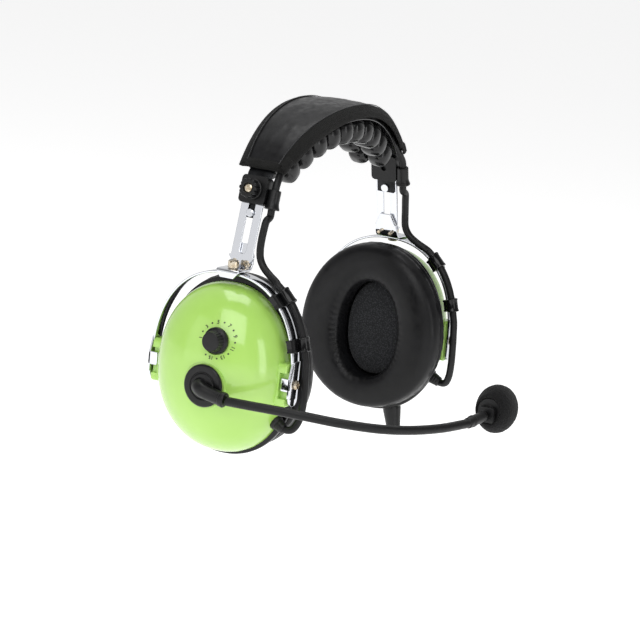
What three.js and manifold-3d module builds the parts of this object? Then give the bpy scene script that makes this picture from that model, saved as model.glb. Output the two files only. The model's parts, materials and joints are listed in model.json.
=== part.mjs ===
// Aviation headset with a boom microphone: two oval ear cups in stirrups, hung from a sprung headband.
// Millimetres. +Z is up, the wearer faces -Y, and the boom is on the wearer's right, at -X.
// The origin is where the headband's cushion rests on the crown of the head.
import * as THREE from "three";
import { mergeVertices } from "three/addons/utils/BufferGeometryUtils.js";
import Module from "manifold-3d";

const wasm = await Module();
wasm.setup();

// ---------------------------------------------------------------- driving dimensions
const GAP = 0.35; // between pieces that rest on each other
const CROWN_HEIGHT = 132.5; // from the ear cups' pivots up to the crown of the head

// ear cups
const PIVOT_X = 104; // stirrup plane, from the middle of the head
const RIM_X = 98; // open edge of a shell
const SHELL_DEPTH = 38;
const SHELL_WALL = 2.4;
const SHELL_OVAL = { up: 54, down: 51, half: 43.5, power: 2.1 };
const SHELL_PROFILE_POWER = 2.2;
const APEX_LIFT = 4;
const BAFFLE_OVAL = { up: 57, down: 52.5, half: 46.6, power: 2.1 };
const BAFFLE_THICKNESS = 3.4;
const SEAL_OVAL = { up: 58, down: 50, half: 50, power: 2 };
const SEAL_HOLE_OVAL = { up: 33, down: 30, half: 21, power: 2.1 };
const SEAL_FACE_X = 76; // where a seal meets the head

// pivot ears on the shells
const EAR_FACE_Y = 46.9;
const EAR_TOP = 12.6;
const EAR_BOTTOM = -13.8;
const EAR_OUTER_X = 111.2;
const EAR_RECESS_X = 108.3;

// stirrups
const STRIP_WIDTH = 8.5;
const STRIP_THICKNESS = 1.4;
const ARCH = { up: 60.3, half: 48.8, power: 2.3 };
const STOP_TAB_X = 109.7;
const STOP_TAB_END_Y = 43.2;
const STOP_TAB_HALF_HEIGHT = 4;

// sliders: a leaning frame whose z runs up the strap and whose -x faces outwards
const LEAN = THREE.MathUtils.degToRad(13.6);
const SLIDER_FOOT = new THREE.Vector3(-95.45, 0, 65.67);
const STRAP = { width: 15, thickness: 1.2, bottom: 1.5, top: 49.6 };
const SLOT = { width: 4.6, bottom: 5.2, top: 47.6 };
const STUD_HEIGHT = 30.3;
const KNOB_HEIGHT = 44.3;
const BLOCK = { width: 18, bottom: 35.8, top: 52.8, inner: -4.2, outer: 3.2, corner: 2.5 };
const FLANGE_TOP = 62.8;
const FLANGE_THICKNESS = 1.5;
const FLANGE_OUTER_X = 111.3;

// headband
const SPRING_WIDTH = 17;
const SPRING_THICKNESS = 1.2;
const TONGUE_WIDTH = 12;
const TONGUE_OFFSET = -1.5;
const TONGUE_BOTTOM = 27.4;
const TONGUE_TOP = 50.5;
const SPRING_CROWN = 153; // height of the spring's middle line over the pivots
const SHOULDER_ANGLE = Math.PI / 4;
const COVER_INNER = 1.4; // from the spring's middle line
// the cover's height over the spring: [share of the way from the crown to the end, height]
const COVER_HEIGHTS = [[0, 5], [0.35, 5.8], [0.6, 6.7], [0.8, 6], [0.92, 4.2], [1, 2.6]];
const PAD_HALF_WIDTH = 24;
const PAD_HALF_WIDTH_AT_END = 14.7;
const CELL_COUNT = 9;
const CELL_TOP = -4;
const CELL_VALLEY = -13;
const CELL_INSET = 3;
const CELL_ANGLE = THREE.MathUtils.degToRad(43);

// boom and microphone
const DISC_CENTRE = { y: -5.3, z: -4.1 };
const DISC_RADIUS = 13;
const DISC_SEAT_X = 135.6;
const DISC_THICKNESS = 2.2;
const BOOM_X = 142;
const ELBOW_RADIUS = 3.9;
const GOOSENECK_RADIUS = 2.7;
const FERRULE_RADIUS = 3.2;
const MIC_AXIS = { y: -142.6, z: -9.6 };

// volume control
const KNOB_AXIS = { y: -9.8, z: 23.9 };
const KNOB_SEAT_X = 132.2;
const KNOB_RADIUS = 8;
const KNOB_TIP_X = 141.5;

// cord between the cups
const CORD_RADIUS = 2.3;
const CORD_SIDES = 8;

// ---------------------------------------------------------------- colours
function material(color, roughness, metalness = 0) {
  return new THREE.MeshStandardMaterial({ color, roughness, metalness });
}
const LIME = material(0xa6dc66, 0.22);
const CHROME = material(0xd8dade, 0.12, 1);
const NICKEL = material(0xc9b9a2, 0.3, 1);
const SPRING_BLACK = material(0x141414, 0.35, 0.6);
const BLACK_PLASTIC = material(0x1b1b1b, 0.5);
const GLOSS_BLACK = material(0x101010, 0.2);
const LEATHER = material(0x1d1c1b, 0.55);
const VINYL = material(0x0f100f, 0.18);
const CORD_BLACK = material(0x1a1a19, 0.6);
const FOAM = material(0x0c0c0c, 1);
const GREY_FOAM = material(0x3a3a3c, 1);
const BOARD_GREEN = material(0x1f6b3a, 0.6);
const STEEL = material(0x9a9ca0, 0.35, 1);

// ---------------------------------------------------------------- solids
// A closed geometry as a manifold solid, with its shared vertices merged.
function solidOf(geometry) {
  const bare = geometry.index ? geometry.toNonIndexed() : geometry.clone();
  bare.deleteAttribute("normal");
  bare.deleteAttribute("uv");
  const merged = mergeVertices(bare, 1e-3);
  const mesh = new wasm.Mesh({
    numProp: 3,
    vertProperties: merged.attributes.position.array,
    triVerts: new Uint32Array(merged.index.array),
  });
  return new wasm.Manifold(mesh);
}

function geometryOf(solid) {
  const mesh = solid.getMesh();
  const geometry = new THREE.BufferGeometry();
  geometry.setAttribute("position", new THREE.BufferAttribute(mesh.vertProperties, 3));
  geometry.setIndex(new THREE.BufferAttribute(mesh.triVerts, 1));
  geometry.computeVertexNormals();
  return geometry;
}

function combine(method, first, others) {
  const start = solidOf(first);
  return geometryOf(others.reduce((solid, other) => solid[method](solidOf(other)), start));
}
const join = (first, ...others) => combine("add", first, others);
const cut = (first, ...others) => combine("subtract", first, others);
const common = (first, ...others) => combine("intersect", first, others);

// A box between two corners.
function boxBetween(low, high) {
  const size = high.map((value, axis) => value - low[axis]);
  const box = new THREE.BoxGeometry(...size);
  return box.translate(...low.map((value, axis) => value + size[axis] / 2));
}

// A solid of revolution about z from [radius, z] points, which start and end on the axis or close.
function turned(points, segments = 32) {
  const profile = points.map(([radius, height]) => new THREE.Vector2(radius, height));
  return new THREE.LatheGeometry(profile, segments).rotateX(Math.PI / 2);
}

function rod(radius, from, to, segments = 24) {
  return turned([[0, from], [radius, from], [radius, to], [0, to]], segments);
}

// Turns a piece drawn along +z so that it runs outwards, along -x. Its own x then points up.
const outwards = (geometry) => geometry.rotateY(-Math.PI / 2);

// Turns a piece drawn along +z so that it runs along the y axis, forwards (-1) or backwards (+1).
const alongY = (geometry, sign) => geometry.rotateX((-sign * Math.PI) / 2);

// Turns a piece drawn along +z to a direction, and moves its start to a point.
function aimed(geometry, point, direction) {
  const turn = new THREE.Quaternion();
  turn.setFromUnitVectors(new THREE.Vector3(0, 0, 1), direction.clone().normalize());
  return geometry.applyQuaternion(turn).translate(point.x, point.y, point.z);
}

// Each arc of the shape gets twice curveSegments straight pieces.
function extruded(shape, depth, curveSegments = 4) {
  return new THREE.ExtrudeGeometry(shape, { depth, bevelEnabled: false, curveSegments });
}

// A tube with closed ends along a curve.
function tube(curve, radius, steps, sides = CORD_SIDES) {
  const section = new THREE.Shape().absarc(0, 0, radius, 0, 2 * Math.PI);
  return new THREE.ExtrudeGeometry(section, {
    extrudePath: curve,
    steps,
    bevelEnabled: false,
    curveSegments: sides / 2,
  });
}

// A smooth curve through [x, y, z] points.
function route(points) {
  const vectors = points.map((point) => new THREE.Vector3(...point));
  return new THREE.CatmullRomCurve3(vectors, false, "centripetal");
}

function roundedRectangle(width, height, corner) {
  const x = width / 2;
  const y = height / 2;
  const shape = new THREE.Shape();
  shape.moveTo(-x + corner, -y);
  shape.absarc(x - corner, -y + corner, corner, -Math.PI / 2, 0);
  shape.absarc(x - corner, y - corner, corner, 0, Math.PI / 2);
  shape.absarc(-x + corner, y - corner, corner, Math.PI / 2, Math.PI);
  shape.absarc(-x + corner, -y + corner, corner, Math.PI, 1.5 * Math.PI);
  return shape;
}

// A mesh named for its place, such as slider_strap_right.
function piece(name, geometry, finish) {
  const mesh = new THREE.Mesh(geometry, finish);
  mesh.name = name;
  return mesh;
}

// ---------------------------------------------------------------- oval shapes of the ear cups
// Distance from the middle to the oval's edge in a direction, where angle 0 is up.
function ovalRadius(oval, angle) {
  const vertical = Math.cos(angle) > 0 ? oval.up : oval.down;
  const upPart = Math.abs(Math.cos(angle) / vertical) ** oval.power;
  const sidePart = Math.abs(Math.sin(angle) / oval.half) ** oval.power;
  return (upPart + sidePart) ** (-1 / oval.power);
}

// Stretches a unit-radius turned solid so that radius 1 follows the oval. lift(z) moves each level up.
function ovalled(geometry, radiusAt, lift = () => 0) {
  const position = geometry.attributes.position;
  for (let i = 0; i < position.count; i++) {
    const x = position.getX(i);
    const y = position.getY(i);
    const z = position.getZ(i);
    const share = Math.hypot(x, y);
    const angle = Math.atan2(y, x);
    const radius = share > 1e-6 ? radiusAt(angle, share) : 0;
    position.setXY(i, radius * Math.cos(angle) + lift(z), radius * Math.sin(angle));
  }
  return geometry;
}

// The solid dome inside a shell's surface, shrunk by an inset, from the rim outwards.
function domeSolid(inset, from, segments = 36, rings = 7) {
  const depth = SHELL_DEPTH - inset;
  const points = [[0, from], [1, from]];
  for (let ring = 0; ring <= rings; ring++) {
    const angle = (ring / rings) * (Math.PI / 2);
    const height = Math.sin(angle) ** (2 / SHELL_PROFILE_POWER);
    const width = Math.cos(angle) ** (2 / SHELL_PROFILE_POWER);
    if (ring === 0 && from === 0) continue;
    points.push([ring === rings ? 0 : width, depth * height]);
  }
  const radiusAt = (angle, share) => share * (ovalRadius(SHELL_OVAL, angle) - inset);
  const lift = (z) => (APEX_LIFT * Math.max(z, 0)) / SHELL_DEPTH;
  return outwards(ovalled(turned(points, segments), radiusAt, lift)).translate(-RIM_X, 0, 0);
}

// An oval plate with a round or oval hole, from x = from outwards to x = to.
function ovalPlate(oval, inset, from, to) {
  const radiusAt = (angle, share) => share * (ovalRadius(oval, angle) - inset);
  return outwards(ovalled(rod(1, from, to, 36), radiusAt));
}

// ---------------------------------------------------------------- ear cup
// The stirrup's pivot ear: a block on the shell's side with a recess for the stirrup's stop tab.
function pivotEar(sign) {
  const width = EAR_OUTER_X - RIM_X;
  const height = EAR_TOP - EAR_BOTTOM;
  const shape = roundedRectangle(width, height, 2.4);
  const depth = EAR_FACE_Y - 36;
  const block = extruded(shape, depth).translate(0, 0, 36);
  alongY(block, sign).translate(-RIM_X - width / 2, 0, (EAR_TOP + EAR_BOTTOM) / 2);
  const recessDepth = 42.4;
  const lowY = Math.min(sign * recessDepth, sign * (EAR_FACE_Y + 1));
  const highY = Math.max(sign * recessDepth, sign * (EAR_FACE_Y + 1));
  const recess = boxBetween([-EAR_OUTER_X - 1, lowY, -8.8], [-EAR_RECESS_X, highY, 7.2]);
  return cut(block, recess);
}

const PIVOT_SCREW_RADIUS = 1.5;
const GROMMET = {
  point: new THREE.Vector3(-102.2, -38, -25.4),
  direction: new THREE.Vector3(-0.12, -0.9, -0.42),
};
const GROMMET_HOLE = 4.2;
const GLAND = {
  point: new THREE.Vector3(-104, -11, -49.2),
  direction: new THREE.Vector3(0, -0.2, -1),
};

function cupShell(hasBoom) {
  const inner = domeSolid(SHELL_WALL, -1, 24, 5);
  let shell = join(domeSolid(0, 0), pivotEar(1), pivotEar(-1));
  const holes = [inner];
  for (const sign of [1, -1]) {
    const hole = alongY(rod(PIVOT_SCREW_RADIUS + GAP, 34, 52, 16), sign);
    holes.push(hole.translate(-PIVOT_X, 0, 0));
  }
  shell = cut(shell, ...holes);
  const grommetHole = aimed(rod(GROMMET_HOLE, -8, 6, 16), GROMMET.point, GROMMET.direction);
  shell = cut(shell, grommetHole);
  return hasBoom ? withControls(shell) : withGlandHole(shell);
}

// The knob's pocket and the boom's seat, each with a boss behind it.
function withControls(shell) {
  const place = (geometry, axis) => outwards(geometry).translate(0, axis.y, axis.z);
  const outerDome = domeSolid(0, 0);
  const knobBoss = common(place(rod(10.6, 129.4, 140), KNOB_AXIS), outerDome);
  const discBoss = place(rod(DISC_RADIUS + 0.7, 130, DISC_SEAT_X, 28), DISC_CENTRE);
  const bossed = join(shell, knobBoss, discBoss);
  return cut(
    bossed,
    place(rod(KNOB_RADIUS + 0.6, KNOB_SEAT_X, 140, 24), KNOB_AXIS),
    place(rod(3.45, 125, 140, 16), KNOB_AXIS),
    place(rod(DISC_RADIUS + 1.2, DISC_SEAT_X, 140, 28), DISC_CENTRE),
    place(rod(4.95, 125, 140, 18), DISC_CENTRE),
  );
}

function withGlandHole(shell) {
  return cut(shell, aimed(rod(4.6, -8, 6, 20), GLAND.point, GLAND.direction));
}

function baffle() {
  const plate = ovalPlate(BAFFLE_OVAL, 0, RIM_X - GAP - BAFFLE_THICKNESS, RIM_X - GAP);
  return cut(plate, outwards(rod(17, RIM_X - 10, RIM_X + 1, 32)));
}

// The ear cushion: a fat oval ring, flat where it meets the head.
function earSeal() {
  const back = RIM_X - GAP - BAFFLE_THICKNESS - GAP;
  const front = SEAL_FACE_X;
  const middle = (back + front) / 2;
  const points = [
    [0.06, back],
    [0.94, back],
    [1, middle + 4],
    [0.99, middle - 3],
    [0.9, front + 2.2],
    [0.72, front],
    [0.3, front],
    [0.1, front + 2],
    [0, middle - 2],
    [0, middle + 4],
    [0.06, back],
  ];
  const shifted = points.map(([share, x]) => [1 + share, x]).reverse();
  const radiusAt = (angle, share) =>
    THREE.MathUtils.lerp(
      ovalRadius(SEAL_HOLE_OVAL, angle),
      ovalRadius(SEAL_OVAL, angle),
      share - 1,
    );
  return outwards(ovalled(turned(shifted, 32), radiusAt));
}

function speakerFoam() {
  const back = RIM_X - GAP - BAFFLE_THICKNESS - GAP;
  return ovalPlate(SEAL_HOLE_OVAL, 1.2, back - 3.4, back);
}

function speaker() {
  const face = RIM_X;
  const profile = [[0, face], [19.5, face], [20, face + 3], [15, face + 8]];
  profile.push([12.5, face + 8], [12.5, face + 12], [0, face + 12]);
  return outwards(turned(profile, 24));
}

// A screw with a low round head and a cross recess, its head's underside at z = 0.
function screw(headRadius, headHeight, shankRadius, length) {
  const profile = [[0, -length], [shankRadius, -length], [shankRadius, 0], [headRadius, 0]];
  profile.push([headRadius, headHeight * 0.55], [headRadius * 0.72, headHeight], [0, headHeight]);
  const solid = turned(profile, 12);
  const long = headRadius * 0.6;
  const short = headRadius * 0.13;
  const floor = headHeight * 0.45;
  const slots = [
    boxBetween([-long, -short, floor], [long, short, headHeight + 1]),
    boxBetween([-short, -long, floor], [short, long, headHeight + 1]),
  ];
  return cut(solid, ...slots);
}

function pivotScrew(sign) {
  const seat = ARCH.half + STRIP_THICKNESS / 2 + GAP;
  const solid = screw(3, 1.8, PIVOT_SCREW_RADIUS, 10).translate(0, 0, seat);
  return alongY(solid, sign).translate(-PIVOT_X, 0, 0);
}

function cordGrommet() {
  const bore = CORD_RADIUS + 0.5;
  const neck = GROMMET_HOLE - 0.4;
  const points = [[bore, -2.2], [neck, -2.2], [neck, 0.9], [4.7, 0.9], [4.7, 2.4]];
  points.push([3.7, 7.5], [bore, 7.5], [bore, -2.2]);
  return aimed(turned(points, 20), GROMMET.point, GROMMET.direction);
}

// The gland that the aircraft's cord comes out of, with its bore open.
function cordGland() {
  const bore = 2.5;
  const points = [[bore, -3], [4.3, -3], [4.3, 0.8], [6, 0.8], [6, 3.2]];
  points.push([4.6, 15], [bore, 15], [bore, -3]);
  return aimed(turned(points, 20), GLAND.point, GLAND.direction);
}

// ---------------------------------------------------------------- volume control
function onKnobAxis(geometry) {
  return outwards(geometry).translate(0, KNOB_AXIS.y, KNOB_AXIS.z);
}

// The knob with its shaft.
const SHAFT_RADIUS = 3;
const SHAFT_END_X = 122.3;
function volumeKnob() {
  const base = KNOB_SEAT_X + GAP;
  const points = [[0, SHAFT_END_X], [SHAFT_RADIUS, SHAFT_END_X], [SHAFT_RADIUS, base]];
  points.push([KNOB_RADIUS - 0.3, base], [KNOB_RADIUS, base + 0.6], [KNOB_RADIUS, base + 3]);
  points.push([7, base + 5], [6.2, base + 7], [5.6, KNOB_TIP_X - 0.8]);
  points.push([5, KNOB_TIP_X], [0, KNOB_TIP_X]);
  return onKnobAxis(turned(points, 24));
}

// The microphone's amplifier board, with the volume potentiometer soldered to it.
function preampBoard() {
  const can = [[0, 115], [7.5, 115], [7.5, 124.2], [4.4, 124.2], [4.4, 126]];
  can.push([SHAFT_RADIUS + GAP, 126], [SHAFT_RADIUS + GAP, SHAFT_END_X - GAP]);
  can.push([0, SHAFT_END_X - GAP]);
  const board = boxBetween([-116.6, -24, -8], [-115, 12, 34]);
  const chip = boxBetween([-118.6, -6, -4], [-116.5, 2, 4]);
  const capacitor = outwards(rod(2.6, 116.5, 121.5, 16)).translate(0, 6, 14);
  return join(onKnobAxis(turned(can, 24)), board, chip, capacitor);
}

// ---------------------------------------------------------------- stirrup
// A point of the arch's middle line moved outwards by an offset. angle 0 is the top, +90 degrees the back.
function archPoint(angle, offset = 0) {
  const at = (turn) => {
    const radius = ovalRadius({ ...ARCH, down: ARCH.up }, turn);
    return new THREE.Vector2(radius * Math.sin(turn), radius * Math.cos(turn));
  };
  const step = 1e-3;
  const tangent = at(angle + step).sub(at(angle - step)).normalize();
  const outward = new THREE.Vector2(-tangent.y, tangent.x);
  return at(angle).addScaledVector(outward, offset);
}

function arch() {
  const shape = new THREE.Shape();
  const steps = 32;
  const half = Math.PI / 2;
  const points = [];
  for (let i = 0; i <= steps; i++) {
    points.push(archPoint(-half + (i / steps) * Math.PI, STRIP_THICKNESS / 2));
  }
  for (let i = steps; i >= 0; i--) {
    points.push(archPoint(-half + (i / steps) * Math.PI, -STRIP_THICKNESS / 2));
  }
  shape.setFromPoints(points);
  // drawn in (y, z) and extruded along x
  const solid = extruded(shape, STRIP_WIDTH);
  solid.applyMatrix4(new THREE.Matrix4().set(0, 0, 1, 0, 1, 0, 0, 0, 0, 1, 0, 0, 0, 0, 0, 1));
  return solid.translate(-PIVOT_X - STRIP_WIDTH / 2, 0, 0);
}

// A lug plate under the arch's end, wider at the outside, with the bent-in stop tab.
function lug(sign) {
  const inner = -PIVOT_X + STRIP_WIDTH / 2;
  const outer = -PIVOT_X - STRIP_WIDTH / 2;
  const wide = -STOP_TAB_X - 1.2;
  const shape = new THREE.Shape();
  shape.moveTo(inner, 3);
  shape.lineTo(outer, 3);
  shape.lineTo(outer, 6.4);
  shape.lineTo(wide, STOP_TAB_HALF_HEIGHT);
  shape.lineTo(wide, -8);
  shape.bezierCurveTo(wide, -12, -107.5, -14, -105.3, -14);
  shape.bezierCurveTo(-102, -14, inner, -12, inner, -8);
  const plate = extruded(shape, STRIP_THICKNESS, 6);
  plate.rotateX(Math.PI / 2);
  const low = ARCH.half - STRIP_THICKNESS / 2;
  const high = ARCH.half + STRIP_THICKNESS / 2;
  plate.translate(0, sign > 0 ? high : -low, 0);
  const tabY = [sign * STOP_TAB_END_Y, sign * high].sort((a, b) => a - b);
  const tab = boxBetween(
    [wide, tabY[0], -STOP_TAB_HALF_HEIGHT],
    [-STOP_TAB_X, tabY[1], STOP_TAB_HALF_HEIGHT],
  );
  return join(plate, tab);
}

const SWIVEL_SHANK_RADIUS = 2;

function stirrup() {
  const solid = join(arch(), lug(1), lug(-1));
  const holes = [1, -1].map((sign) =>
    alongY(rod(PIVOT_SCREW_RADIUS + GAP, 40, 52, 16), sign).translate(-PIVOT_X, 0, 0),
  );
  holes.push(rod(SWIVEL_SHANK_RADIUS + GAP, 55, 65, 20).translate(-PIVOT_X, 0, 0));
  return cut(solid, ...holes);
}

// Where the cord rides on the stirrup: in front of the strip and nearer the head.
const CORD_ON_STRIP = { x: 5.2, offset: 4 };

// A black sleeve that holds the cord to the strip, at an angle of the arch.
function stirrupSleeve(angle, length) {
  const wall = 0.8;
  const room = 0.6;
  const bore = CORD_RADIUS + 0.6;
  const shape = new THREE.Shape();
  const left = -STRIP_WIDTH / 2 - room - wall;
  const low = -STRIP_THICKNESS / 2 - room - wall;
  const high = STRIP_THICKNESS / 2 + room + wall;
  const outerRadius = bore + wall;
  shape.moveTo(left, low);
  shape.lineTo(CORD_ON_STRIP.x, low);
  shape.absarc(CORD_ON_STRIP.x, CORD_ON_STRIP.offset, outerRadius, -0.9, Math.PI * 0.66);
  shape.lineTo(left, high);
  const cordHole = new THREE.Path();
  cordHole.absarc(CORD_ON_STRIP.x, CORD_ON_STRIP.offset, bore, 0, 2 * Math.PI, true);
  shape.holes.push(cordHole);
  const stripHole = new THREE.Path();
  stripHole.moveTo(left + wall, low + wall);
  stripHole.lineTo(left + wall, high - wall);
  stripHole.lineTo(STRIP_WIDTH / 2 + room, high - wall);
  stripHole.lineTo(STRIP_WIDTH / 2 + room, low + wall);
  const body = extruded(shape, length, 8).translate(0, 0, -length / 2);
  const strip = extruded(new THREE.Shape(stripHole.getPoints()), length + 2);
  const solid = cut(body, strip.translate(0, 0, -length / 2 - 1));
  const centre = archPoint(angle);
  const ahead = archPoint(angle + 0.01).sub(centre).normalize();
  const along = new THREE.Vector3(0, -ahead.x, -ahead.y);
  const out = new THREE.Vector3(0, -ahead.y, ahead.x);
  const basis = new THREE.Matrix4().makeBasis(new THREE.Vector3(1, 0, 0), out, along);
  return solid.applyMatrix4(basis).translate(-PIVOT_X, centre.x, centre.y);
}

// The swivel screw stands on the slider's flange. Its peened foot holds the stirrup up.
function swivelScrew() {
  const head = FLANGE_TOP + GAP;
  const foot = ARCH.up - STRIP_THICKNESS / 2 - GAP - 0.15;
  const points = [[0, foot - 1.1], [2.8, foot - 1.1], [3.3, foot - 0.6], [3.3, foot]];
  points.push([SWIVEL_SHANK_RADIUS, foot], [SWIVEL_SHANK_RADIUS, head]);
  points.push([3.4, head], [3.4, head + 4], [2.9, head + 4.6], [0, head + 4.6]);
  const slot = boxBetween([-5, -0.5, head + 3.4], [5, 0.5, head + 6]);
  return cut(turned(points, 16), slot).translate(-PIVOT_X, 0, 0);
}

// ---------------------------------------------------------------- slider (in the leaning frame)
// A plate that lies between two outward offsets, drawn in (y, z).
function leaningPlate(shape, from, to) {
  const solid = extruded(shape, to - from);
  solid.applyMatrix4(new THREE.Matrix4().set(0, 0, 1, 0, 1, 0, 0, 0, 0, 1, 0, 0, 0, 0, 0, 1));
  return solid.translate(-to, 0, 0);
}

// A pin along the outward direction, between two offsets.
const leaningPin = (radius, from, to, height, segments = 20) =>
  outwards(rod(radius, from, to, segments)).translate(0, 0, height);

function stadium(width, bottom, top) {
  const radius = width / 2;
  const shape = new THREE.Shape();
  shape.moveTo(-radius, bottom + radius);
  shape.absarc(0, bottom + radius, radius, Math.PI, 2 * Math.PI);
  shape.absarc(0, top - radius, radius, 0, Math.PI);
  return shape;
}

function sliderStrap() {
  const radius = STRAP.width / 2;
  const shape = new THREE.Shape();
  shape.moveTo(-radius, STRAP.bottom + radius);
  shape.absarc(0, STRAP.bottom + radius, radius, Math.PI, 2 * Math.PI);
  shape.lineTo(radius, STRAP.top - 1);
  shape.lineTo(radius - 1, STRAP.top);
  shape.lineTo(-radius + 1, STRAP.top);
  shape.lineTo(-radius, STRAP.top - 1);
  shape.holes.push(new THREE.Path(stadium(SLOT.width, SLOT.bottom, SLOT.top).getPoints(10)));
  return leaningPlate(shape, -STRAP.thickness / 2, STRAP.thickness / 2);
}

const FACE_SCREWS = [-4.1, 4.1];
const FACE_SCREW_HEIGHT = -0.2;
const BRACKET_BACK = -STRAP.thickness / 2 - GAP - 1.3;

// The bracket: a leaning plate behind the strap, a level flange over the stirrup and a bent-down stop.
function sliderBracket() {
  const plateShape = new THREE.Shape();
  const points = [[-8, -3.4], [8, -3.4], [8, 8], [6, 12], [-6, 12], [-8, 8]];
  plateShape.setFromPoints(points.map(([y, z]) => new THREE.Vector2(y, z)));
  const plate = leaningPlate(plateShape, BRACKET_BACK, -STRAP.thickness / 2 - GAP);
  const level = (geometry) =>
    geometry.translate(-SLIDER_FOOT.x, 0, -SLIDER_FOOT.z).rotateY(-LEAN);
  const flangeBottom = FLANGE_TOP - FLANGE_THICKNESS;
  const flange = level(boxBetween([-FLANGE_OUTER_X, -8, flangeBottom], [-93.6, 8, FLANGE_TOP]));
  const stopShape = new THREE.Shape();
  const stopPoints = [[-8, FLANGE_TOP], [-8, 61], [-4.6, 57.6], [4.6, 57.6], [8, 61], [8, FLANGE_TOP]];
  stopShape.setFromPoints(stopPoints.map(([y, z]) => new THREE.Vector2(y, z)));
  const stop = leaningPlate(stopShape, FLANGE_OUTER_X - 1.4, FLANGE_OUTER_X);
  const trim = boxBetween([-120, -9, 40], [-80, 9, flangeBottom]);
  const solid = join(cut(plate, level(trim)), flange, level(stop));
  const holes = FACE_SCREWS.map((y) =>
    leaningPin(1.2 + GAP, -6, 3, FACE_SCREW_HEIGHT, 14).translate(0, y, 0),
  );
  const swivelHole = level(
    rod(SWIVEL_SHANK_RADIUS + GAP, 58, 66, 20).translate(-PIVOT_X, 0, 0),
  );
  return cut(solid, ...holes, swivelHole);
}

function faceScrew(y) {
  const solid = outwards(screw(2.2, 1.5, 1.2, 4.4));
  const seat = -STRAP.thickness / 2;
  return solid.translate(-seat, y, FACE_SCREW_HEIGHT);
}

// ---------------------------------------------------------------- clamp at each end of the headband
function clampBlock() {
  const height = BLOCK.top - BLOCK.bottom;
  const shape = roundedRectangle(BLOCK.width, height, BLOCK.corner);
  const solid = leaningPlate(shape, BLOCK.inner, BLOCK.outer);
  solid.translate(0, 0, (BLOCK.top + BLOCK.bottom) / 2);
  const channelHalf = STRAP.width / 2 + GAP;
  const channelOut = STRAP.thickness / 2 + GAP;
  const channel = boxBetween([-channelOut, -channelHalf, 30], [3, channelHalf, 60]);
  return cut(solid, channel, leaningPin(1.8, -8, 8, KNOB_HEIGHT, 16));
}

// The star knob with the screw that is moulded into it and runs through the block.
const CLAMP_SHANK_RADIUS = 1.5;
function clampKnob() {
  const lobes = 12;
  const steps = 48;
  const points = [];
  for (let i = 0; i < steps; i++) {
    const angle = (i / steps) * 2 * Math.PI;
    const radius = 5.55 + 0.45 * Math.cos(lobes * angle);
    points.push(new THREE.Vector2(radius * Math.cos(angle), radius * Math.sin(angle)));
  }
  const base = BLOCK.outer + GAP;
  const star = outwards(extruded(new THREE.Shape(points), 6).translate(0, 0, base + 1.4));
  const collar = outwards(rod(6.3, base, base + 1.6, 20));
  const solid = join(star, collar);
  const dish = outwards(rod(3.1, base + 5.8, 20, 16));
  const seat = base + 5.8;
  const driven = outwards(screw(2.75, 1.5, CLAMP_SHANK_RADIUS, seat + 4).translate(0, 0, seat));
  return join(cut(solid, dish), driven).translate(0, 0, KNOB_HEIGHT);
}

// The rivet through the spring's tongue that runs in the strap's slot.
function guideStud() {
  const back = TONGUE_OFFSET - SPRING_THICKNESS / 2 - GAP;
  const front = STRAP.thickness / 2 + GAP;
  const points = [[0, back - 1], [2.6, back - 1], [2.6, back], [1.7, back], [1.7, front]];
  points.push([2.7, front], [2.4, front + 0.9], [0, front + 1.2]);
  return outwards(turned(points, 16)).translate(0, 0, STUD_HEIGHT);
}

// The sleeve that holds the cord beside the clamp block.
const CORD_SIDE = 12.6;
const CORD_OFFSET = -1.6;
function channelSleeve() {
  const bore = CORD_RADIUS + GAP;
  const points = [[bore, 34.5], [bore + 0.9, 34.5], [bore + 0.55, 37], [bore + 0.55, 46.5]];
  points.push([bore, 46.5], [bore, 34.5]);
  return turned(points, 20).translate(-CORD_OFFSET, -CORD_SIDE, 0);
}

// ---------------------------------------------------------------- headband
// From leaning coordinates (outward offset, height) on the right to the headset's (x, z).
function fromLean(offset, height) {
  const x = SLIDER_FOOT.x - offset * Math.cos(LEAN) + height * Math.sin(LEAN);
  const z = SLIDER_FOOT.z + offset * Math.sin(LEAN) + height * Math.cos(LEAN);
  return new THREE.Vector2(x, z);
}

// The spring's half outline: a crown arc and a tighter shoulder arc, each tangent to the next.
function bandArcs() {
  const end = fromLean(TONGUE_OFFSET, TONGUE_TOP);
  const slope = Math.PI / 2 - LEAN;
  const acrossCrown = Math.sin(SHOULDER_ANGLE);
  const acrossShoulder = Math.sin(slope) - acrossCrown;
  const downCrown = 1 - Math.cos(SHOULDER_ANGLE);
  const downShoulder = Math.cos(SHOULDER_ANGLE) - Math.cos(slope);
  const across = -end.x;
  const down = SPRING_CROWN - end.y;
  const determinant = acrossCrown * downShoulder - acrossShoulder * downCrown;
  const crownRadius = (across * downShoulder - acrossShoulder * down) / determinant;
  const shoulderRadius = (acrossCrown * down - across * downCrown) / determinant;
  const centre = new THREE.Vector2(0, SPRING_CROWN - crownRadius);
  const lean = new THREE.Vector2(-Math.sin(slope), Math.cos(slope));
  const shoulderCentre = end.clone().addScaledVector(lean, -shoulderRadius);
  return { crownRadius, shoulderRadius, centre, shoulderCentre, slope };
}
const BAND = bandArcs();

// A point of the crown arc moved outwards, at an angle from the top. Negative angles are the wearer's right.
function crownPoint(angle, offset = 0) {
  const radius = BAND.crownRadius + offset;
  return new THREE.Vector2(radius * Math.sin(angle), BAND.centre.y + radius * Math.cos(angle));
}

// A point of the right shoulder arc moved outwards, where its tangent slopes by an angle.
function shoulderPoint(angle, offset) {
  const outward = new THREE.Vector2(-Math.sin(angle), Math.cos(angle));
  return BAND.shoulderCentre.clone().addScaledVector(outward, BAND.shoulderRadius + offset);
}

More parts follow.
